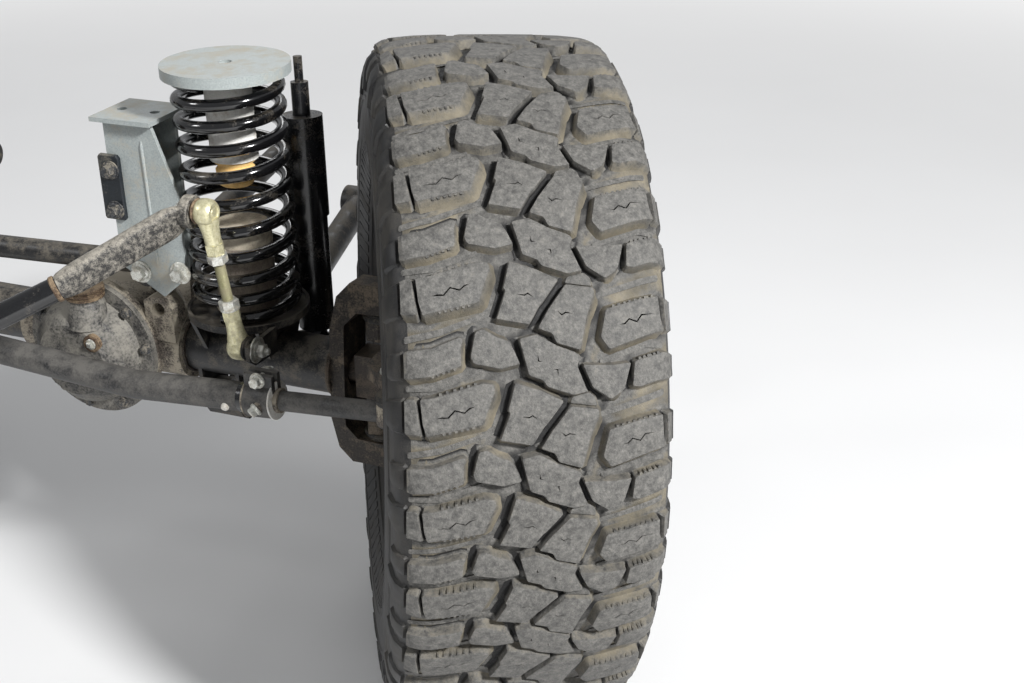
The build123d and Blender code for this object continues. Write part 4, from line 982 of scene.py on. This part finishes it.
# Links of the bar: ball housings, boots, lock nuts, threaded rod, and each stud's nut
bar_link = bmesh.new()
LINK_FINISHES = [yellow_zinc, white_zinc, soft_rubber, muddy_rubber, olive_zinc]
HOUSING = [(-12, 11), (-10, 14.5), (-6.5, 16.8), (0, 17.4), (6.5, 16.8), (10, 14.5), (12, 12.5),
           (12, 9.8), (10.6, 9), (10.4, 6), (11.4, 4.6)]
for side, _ in SIDES:
    high_ball, low_ball = mirrored(LINK_TOP, side), mirrored(LINK_LOW, side)
    down = (low_ball - high_ball).normalized()
    for ball, way, cap in ((high_ball, down, side), (low_ball, -down, -side)):
        lathe(bar_link, basis(ball, (cap, 0, 0)), HOUSING, 40)
        shank = basis(ball, way, LEFTWARDS)
        lathe(bar_link, shank, [(8, 14), (15, 13.2), (22, 11.6), (34, 10.6), (43, 10.6)])
        prism(bar_link, shank, hexagon_outline(21), 42, LINK_SHANK - 1, 1.0)
        # Lock nut with its round foot
        nut = hexagon_outline(22.5, 0.5)
        prism(bar_link, shank, nut, LINK_SHANK - 0.8, LINK_SHANK + LINK_NUT, 1.6, 1)
        lathe(bar_link, shank, [(LINK_SHANK - 1.6, 12.8), (LINK_SHANK + 1.2, 12.8),
                                (LINK_SHANK + 1.8, 11)], 32, 1)
    rod_end = (low_ball - high_ball).length - LINK_SHANK
    lathe(bar_link, basis(high_ball, down), thread(LINK_SHANK, rod_end, 7.2), 20, 4)
    # Boots on the studs: brown with mud above, black below
    gap, reach = LINK_TOP.x - BAR_TIP.x - BAR_EYE / 2, TAB_X - LINK_LOW.x
    lathe(bar_link, basis(high_ball, (-side, 0, 0)), [
        (10, 15), (12.5, 16), (14, 14.2), (gap, 13)], 32, 3)
    lathe(bar_link, basis(low_ball, (side, 0, 0)), [
        (10, 15.5), (13.5, 16.5), (15, 14.4), (17.5, 15), (reach, 13.5)], 32, 2)
    outboard = basis(low_ball + Vector((side * (reach + PLATE), 0, 0)), (side, 0, 0))
    add_bolt(bar_link, outboard, 16, 1, washer=17.5, tip=19)
    inboard = basis(mirrored(BAR_TIP - LEFTWARDS * BAR_EYE / 2, side), (-side, 0, 0))
    add_bolt(bar_link, inboard, 17, 1, tip=14)
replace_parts(make_piece("adjustable_bar_links", bar_link, LINK_FINISHES, "axle"), "bar_links")

# Bracket of the track bar: its bolts, the dark strap with two bolts and the bead along the fold
bracket_bolts = bmesh.new()
for x, z in ((392, 122), (454, 129)):
    add_bolt(bracket_bolts, basis((x, BRACKET_FACE, z), FORWARDS), 17, 0, washer=15.5)
add_bolt(bracket_bolts, basis((392, 9.3, 122), -FORWARDS), 17, 0, washer=15, tip=22)
STRAP_OUTLINE = [(-16, -38), (-14, -41), (14, -41), (16, -38), (16, 44), (13, 48), (-13, 48),
                 (-16, 44)]
strap = basis((366, BRACKET_FACE, 236), FORWARDS, LEFTWARDS)
prism(bracket_bolts, strap, STRAP_OUTLINE, -0.3, STRAP_THICK, 1.2, 1)
for z in (264, 209):
    place = (369, BRACKET_FACE - STRAP_THICK, z)
    add_bolt(bracket_bolts, basis(place, FORWARDS), 15, 2, washer=12.5)
bead = [Vector((x, BRACKET_FACE + sunk, z)) for x, sunk, z in
        ((419, 1.2, 132), (419, 0.6, 140), (417, 0.6, 300), (417, 1.4, 308))]
tube(bracket_bolts, bead, [1.5, 2.6, 2.6, 1.2], 12, 3)
make_piece("bracket_bolts_and_strap", bracket_bolts,
           [white_zinc, strap_coat, dull_bolt, sheet_grey], "axle")

# Gear housing's cover: flange bolts, ringed filler plug, small bosses, rubber pad on its boss
cover_parts = bmesh.new()
for k in range(COVER_BOLTS):
    angle = math.radians(7) + 2 * math.pi * k / COVER_BOLTS
    x, z = COVER_X + COVER_BOLT_R * math.cos(angle), COVER_BOLT_R * math.sin(angle)
    add_bolt(cover_parts, basis((x, COVER_FACE, z), FORWARDS), 11)
plug = basis((337, COVER_CROWN, 31), FORWARDS)
lathe(cover_parts, plug, [(-6, 13.5), (0.6, 12.4), (1.6, 11), (1.6, 8.6), (0, 8)], 36, 1)
lathe(cover_parts, plug, [(-4, 7.6), (1.8, 7.6), (2.6, 6.8)], 36, 2)
prism(cover_parts, plug, [(-3.6, -3.6), (3.6, -3.6), (3.6, 3.6), (-3.6, 3.6)], 2, 6.5, 0.8, 2)
for x, z, radius in ((268, -52, 7), (262, 30, 6)):
    lathe(cover_parts, basis((x, COVER_CROWN + 16, z), FORWARDS), [
        (-8, radius + 2), (0, radius), (3, radius - 1), (3.6, radius - 3)], 24, 3)
pad = Matrix.Translation((318, -84, 0))
lathe(cover_parts, pad, [(48, 30), (58, 27), (80, 25), (84, 23), (85, 0)], 40, 5)
lathe(cover_parts, pad, [
    (87.5, 24.5), (88.5, 26), (91, 26), (92, 23.5), (93.4, 23.5), (94.4, 26.5), (97, 26.5),
    (98, 24), (99.4, 24), (100.2, 26.8), (102.6, 26.2), (103.4, 24), (103.4, 12), (101, 10)], 44, 4)
COVER_FINISHES = [dull_bolt, muddy_rubber, white_zinc, cover_paint, muddy_rubber, cover_paint]
make_piece("cover_bolts_and_pad", cover_parts, COVER_FINISHES, "axle", 40)

# Tie rod: clamp bolt through the ears, cross bolt, worn edges and bands at the clamp's two ends,
# rivet, ball sockets and boots
ball_left, ball_right = [STEERED[side] @ Vector((0, -STEER_ARM, TIE_BALL_Z)) for side in (1, -1)]
bend = (ball_left + ball_right) / 2 + Vector((342, 0, -27))
inward = (bend - ball_left).normalized()
clamp = ball_left + inward * 182
tie = bmesh.new()
ear_bolt = clamp + UPWARDS * 31
add_bolt(tie, basis(ear_bolt + FORWARDS * 10.5, FORWARDS), 13, 0, washer=10.5)
add_bolt(tie, basis(ear_bolt - FORWARDS * 10.5, -FORWARDS), 13, 0, tip=16)
lathe(tie, basis(ear_bolt + FORWARDS * 4, -FORWARDS), [(0, 4.6), (8, 4.6)], 20)
cross_way = (-9, -15, -9)
cross = basis(clamp + Vector((7, -14, 2)), cross_way)
lathe(tie, cross, [(-4, 10), (9, 8.6), (10.5, 7.2)], 28, 1)
add_bolt(tie, basis(cross @ Vector((0, 0, 10.5)), cross_way), 12, 0, washer=9)
BANDS = ((-21, -18.6, 25.4, 2), (18.2, 20.6, 25, 1), (20.6, 31, 19.6, 3), (-27, -21, 16, 1))
for start, end, radius, slot in BANDS:
    edge_r = radius - 0.8
    lathe(tie, basis(clamp, inward), [
        (start, edge_r), (start + 0.8, radius), (end - 0.8, radius), (end, edge_r)], 40, slot)
rivet = basis((574, -162, 6), (0, -0.9, -0.44))
lathe(tie, rivet, [(-3, 5.6), (1.5, 5.4), (4, 4.2), (5, 0)], 24, 2)
SOCKET = [(-17, 12), (-15.5, 17), (-12, 20.6), (-6, 21), (12, 20.6), (15.5, 18.5), (17, 15)]
BOOT = [(13, 19), (15, 21.5), (20, 23), (25, 21), (29, 17), (32, 13.5), (34, 12.4),
        (ARM_UNDER - TIE_BALL_Z - 0.6, 14)]
for side, ball in ((1, ball_left), (-1, ball_right)):
    seat = basis(ball, STEERED[side].to_3x3() @ UPWARDS)
    lathe(tie, seat, SOCKET, 40, 1)
    lathe(tie, seat, [(-20, 3.4), (-17, 4.4)], 16)
    lathe(tie, seat, BOOT, 36, 4)
make_piece("tie_rod_fittings", tie,
           [white_zinc, cast_iron, tube_flake, bar_enamel, soft_rubber], "tie_rod")

# Knuckles: nuts of the tie rod's studs, and the boots and plugs of the ball pins
PIN_BOOT = [(-1, 27), (1.5, 28.5), (4, 27.5), (6, 24.8), (8, 25.6), (10, 23.6), (11.4, 22.6)]
for side, hand in SIDES:
    fittings = bmesh.new()
    knuckle = STEERED[side]
    kingpin = knuckle.to_3x3() @ UPWARDS
    stud = basis(knuckle @ Vector((0, -STEER_ARM, ARM_OVER)), kingpin)
    add_bolt(fittings, stud, 22, 0, washer=16, tip=25)
    for way in (1, -1):
        outer = basis(knuckle @ (UPWARDS * way * KNUCKLE_EAR), kingpin * way)
        lathe(fittings, outer, PIN_BOOT, 40, 1)
        inner = basis(knuckle @ (UPWARDS * way * KNUCKLE_INNER), kingpin * -way)
        lathe(fittings, inner, [(-0.5, 17), (3, 16), (6, 13)], 28, 2)
    make_piece(f"knuckle_fittings_{hand}", fittings,
               [white_zinc, soft_rubber, dull_bolt], f"knuckle_{hand}")

# Bolts through the arms' and dampers' eyes, and the bushes that show at the free eyes
eye_bolts = bmesh.new()
BOLTED_EYES = (  # centre, bolt's direction, outer faces from the centre, width across the flats
    ((478, 4, -80), (1, 0, 0), 32.3, 18), ((-478, 4, -80), (-1, 0, 0), 32.3, 18),
    ((566, 99, -22), (1, 0, 0), 26.3, 16), ((-566, 99, -22), (-1, 0, 0), 26.3, 16),
    ((392, 44, 120), (1, 0, 0), 38.3, 16), ((-392, 44, 120), (-1, 0, 0), 32.3, 16),
    ((-300, -22, 96), (0, -1, 0), 31.3, 18),
)
for centre, way, half, across in BOLTED_EYES:
    way = Vector(way)
    add_bolt(eye_bolts, basis(Vector(centre) + way * half, way), across, 0, washer=0.85 * across)
    add_bolt(eye_bolts, basis(Vector(centre) - way * half, -way), across, 0, tip=1.25 * across)
BUSH_RUBBER = [(-2, 24.2), (0.8, 24.2), (1.6, 22.5), (1.2, 14), (0.6, 13.5), (-2, 13.5)]
BUSH_SLEEVE = [(-2, 12.6), (1.6, 12.6), (2.2, 12), (2.2, 7.8), (1.6, 7.2), (-2, 7.2)]
for x, y, z in ((405, 560, 10), (-405, 560, 10), (372, 420, 168), (-372, 420, 168)):
    for way in (1, -1):
        face = basis((x + way * 26, y, z), (way, 0, 0))
        lathe(eye_bolts, face, BUSH_RUBBER, 40, 1, closed=False)
        lathe(eye_bolts, face, BUSH_SLEEVE, 40, 2, closed=False)
make_piece("eye_bolts_and_bushes", eye_bolts, [dull_bolt, soft_rubber, white_zinc], "axle")

# Weld beads where the axle tubes enter the yokes and the housing
beads = bmesh.new()
WELD_X, WELD_R, WELD_STEPS = (432, 168, 654, -654), 38.8, 60
for x in WELD_X:
    ring = []
    for k in range(WELD_STEPS):
        angle = 2 * math.pi * k / WELD_STEPS
        ripple = 0.5 * math.sin(15 * angle)
        ring.append(Vector((x + ripple, WELD_R * math.cos(angle), WELD_R * math.sin(angle))))
    tube(beads, ring + ring[:1], [3.2] * (WELD_STEPS + 1), 8)
make_piece("tube_weld_beads", beads, [forged_steel], "axle")

# Wheels: rounded rim lips, wheel nuts in their seats, centre cap and valve
LIP = [(114, 232.6), (118, 234.4), (123, 235.4), (127, 234.4), (129.2, 231), (129.8, 226),
       (128.6, 216), (127, 205.4), (125, 204.6), (118, 205.6), (112, 205.9)]
CAP = [(36, 35.3), (46, 35.3), (46, 41), (49, 41), (51.5, 39.6), (52.6, 37), (52.2, 35),
       (51.4, 34.4), (53.4, 33.4), (56, 28), (57.6, 18), (58, 0)]
CAP_RING = [(52, 34.2), (53.4, 34.6), (54, 33.6), (54.4, 31.8), (53, 31.4)]
for side, hand in SIDES:
    wheel_parts = bmesh.new()
    axis = WHEEL[side] @ Matrix.Rotation(math.pi / 2, 4, "Y")
    for turned in (axis, axis @ Matrix.Rotation(math.pi, 4, "Y")):
        lathe(wheel_parts, turned, LIP, 96, closed=False)
    for k in range(WHEEL_NUTS):
        angle = 2 * math.pi * (k + 0.25) / WHEEL_NUTS
        x, y = NUT_CIRCLE_R * math.cos(angle), NUT_CIRCLE_R * math.sin(angle)
        seat = axis @ Matrix.Translation((x, y, 46))
        lathe(wheel_parts, seat, [(-1, 16.5), (0.8, 16), (0.8, 14.5), (-0.2, 12.6)])
        lathe(wheel_parts, seat, [(-0.5, 12), (1.5, 12), (3.5, 10.4)], 32, 1)
        prism(wheel_parts, seat, hexagon_outline(19), 3, 17, 1.2, 1)
        lathe(wheel_parts, seat, [(16.5, 8.8), (19.5, 8), (22, 6), (23.4, 3), (23.8, 0)], 24, 1)
    lathe(wheel_parts, axis, CAP, 64, 2)
    lathe(wheel_parts, axis, CAP_RING, 64, 1, closed=False)
    stem = axis @ basis((0, 200, 116), (0, -0.55, 0.83))
    lathe(wheel_parts, stem, [(-14, 7.5), (-6, 7), (0, 5.4), (14, 4.4)], 20, 3)
    lathe(wheel_parts, stem, [(13, 4.9), (24, 4.7), (25, 3.6)], 20, 2)
    make_piece(f"wheel_fittings_{hand}", wheel_parts,
               [rim_paint, chrome, cap_plastic, soft_rubber], f"wheel_{hand}")

# Floor, backdrop and lights. Far from the object the floor turns into the white backdrop.
floor_level = min(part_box(f"tyre_{hand}")[0].z for _, hand in SIDES)
ground = bmesh.new()
bmesh.ops.create_grid(ground, x_segments=1, y_segments=1, size=14)
mesh = bpy.data.meshes.new("pale_floor")
ground.to_mesh(mesh)
ground.free()
floor = bpy.data.objects.new("pale_floor", mesh)
floor.location.z = floor_level - 0.001
bpy.context.scene.collection.objects.link(floor)
pale, tree, place = new_material("pale_floor_paint")
mist = add_node(tree, "ShaderNodeTexNoise", {
    "Vector": place.outputs["Object"], "Scale": 2.0, "Detail": 2.0})
shade = ramp(tree, mist.outputs["Fac"], 0.0, 1.0, 0.72, 0.76)
tint = add_node(tree, "ShaderNodeCombineColor", {"Red": shade, "Green": shade, "Blue": shade})
matt = add_node(tree, "ShaderNodeBsdfPrincipled", {"Base Color": tint.outputs[0], "Roughness": 0.8})
away = add_node(tree, "ShaderNodeVectorMath", {0: place.outputs["Object"]}, operation="LENGTH")
far = add_node(tree, "ShaderNodeMapRange", {
    "Value": away.outputs["Value"], "From Min": 2.0, "From Max": 6.5},
    interpolation_type="SMOOTHSTEP")
rays = add_node(tree, "ShaderNodeLightPath")
fade = add_node(tree, "ShaderNodeMath", {
    0: far.outputs[0], 1: rays.outputs["Is Camera Ray"]}, operation="MULTIPLY")
white = add_node(tree, "ShaderNodeEmission", {"Color": (1, 1, 1, 1), "Strength": 1.0})
blend = add_node(tree, "ShaderNodeMixShader", {
    0: fade.outputs[0], 1: matt.outputs[0], 2: white.outputs[0]})
add_node(tree, "ShaderNodeOutputMaterial", {"Surface": blend.outputs[0]})
mesh.materials.append(pale)

world = bpy.data.worlds.new("pale_studio")
bpy.context.scene.world = world
world.use_nodes = True
tree = world.node_tree
tree.nodes.clear()
rays = add_node(tree, "ShaderNodeLightPath")
seen = add_node(tree, "ShaderNodeMath", {
    0: rays.outputs["Is Camera Ray"], 1: rays.outputs["Is Transmission Ray"]}, operation="MAXIMUM")
dim = add_node(tree, "ShaderNodeBackground", {"Color": (0.95, 0.97, 1.0, 1.0), "Strength": 0.34})
bright = add_node(tree, "ShaderNodeBackground", {"Color": (1.0, 1.0, 1.0, 1.0), "Strength": 1.0})
mixed = add_node(tree, "ShaderNodeMixShader", {
    0: seen.outputs[0], 1: dim.outputs[0], 2: bright.outputs[0]})
add_node(tree, "ShaderNodeOutputWorld", {"Surface": mixed.outputs[0]})

LIGHTS = (  # name, place and target in metres, size, watts
    ("key_light", (4.1, -1.6, 2.3), (0.6, 0.0, -0.4), 0.6, 330),
    ("fill_light", (-3.2, -2.7, 2.9), (0.2, 0.0, -0.3), 1.2, 60),
    ("rear_light", (-1.0, 3.2, 2.8), (0.0, 0.0, -0.3), 2.5, 50),
)
for name, place_m, target, size, watts in LIGHTS:
    lamp = bpy.data.lights.new(name, "AREA")
    lamp.shape = "DISK"
    lamp.size = size
    lamp.energy = watts
    light = bpy.data.objects.new(name, lamp)
    light.location = place_m
    light.rotation_euler = (Vector(target) - Vector(place_m)).to_track_quat("-Z", "Y").to_euler()
    bpy.context.scene.collection.objects.link(light)

bpy.context.scene.view_settings.view_transform = "Standard"
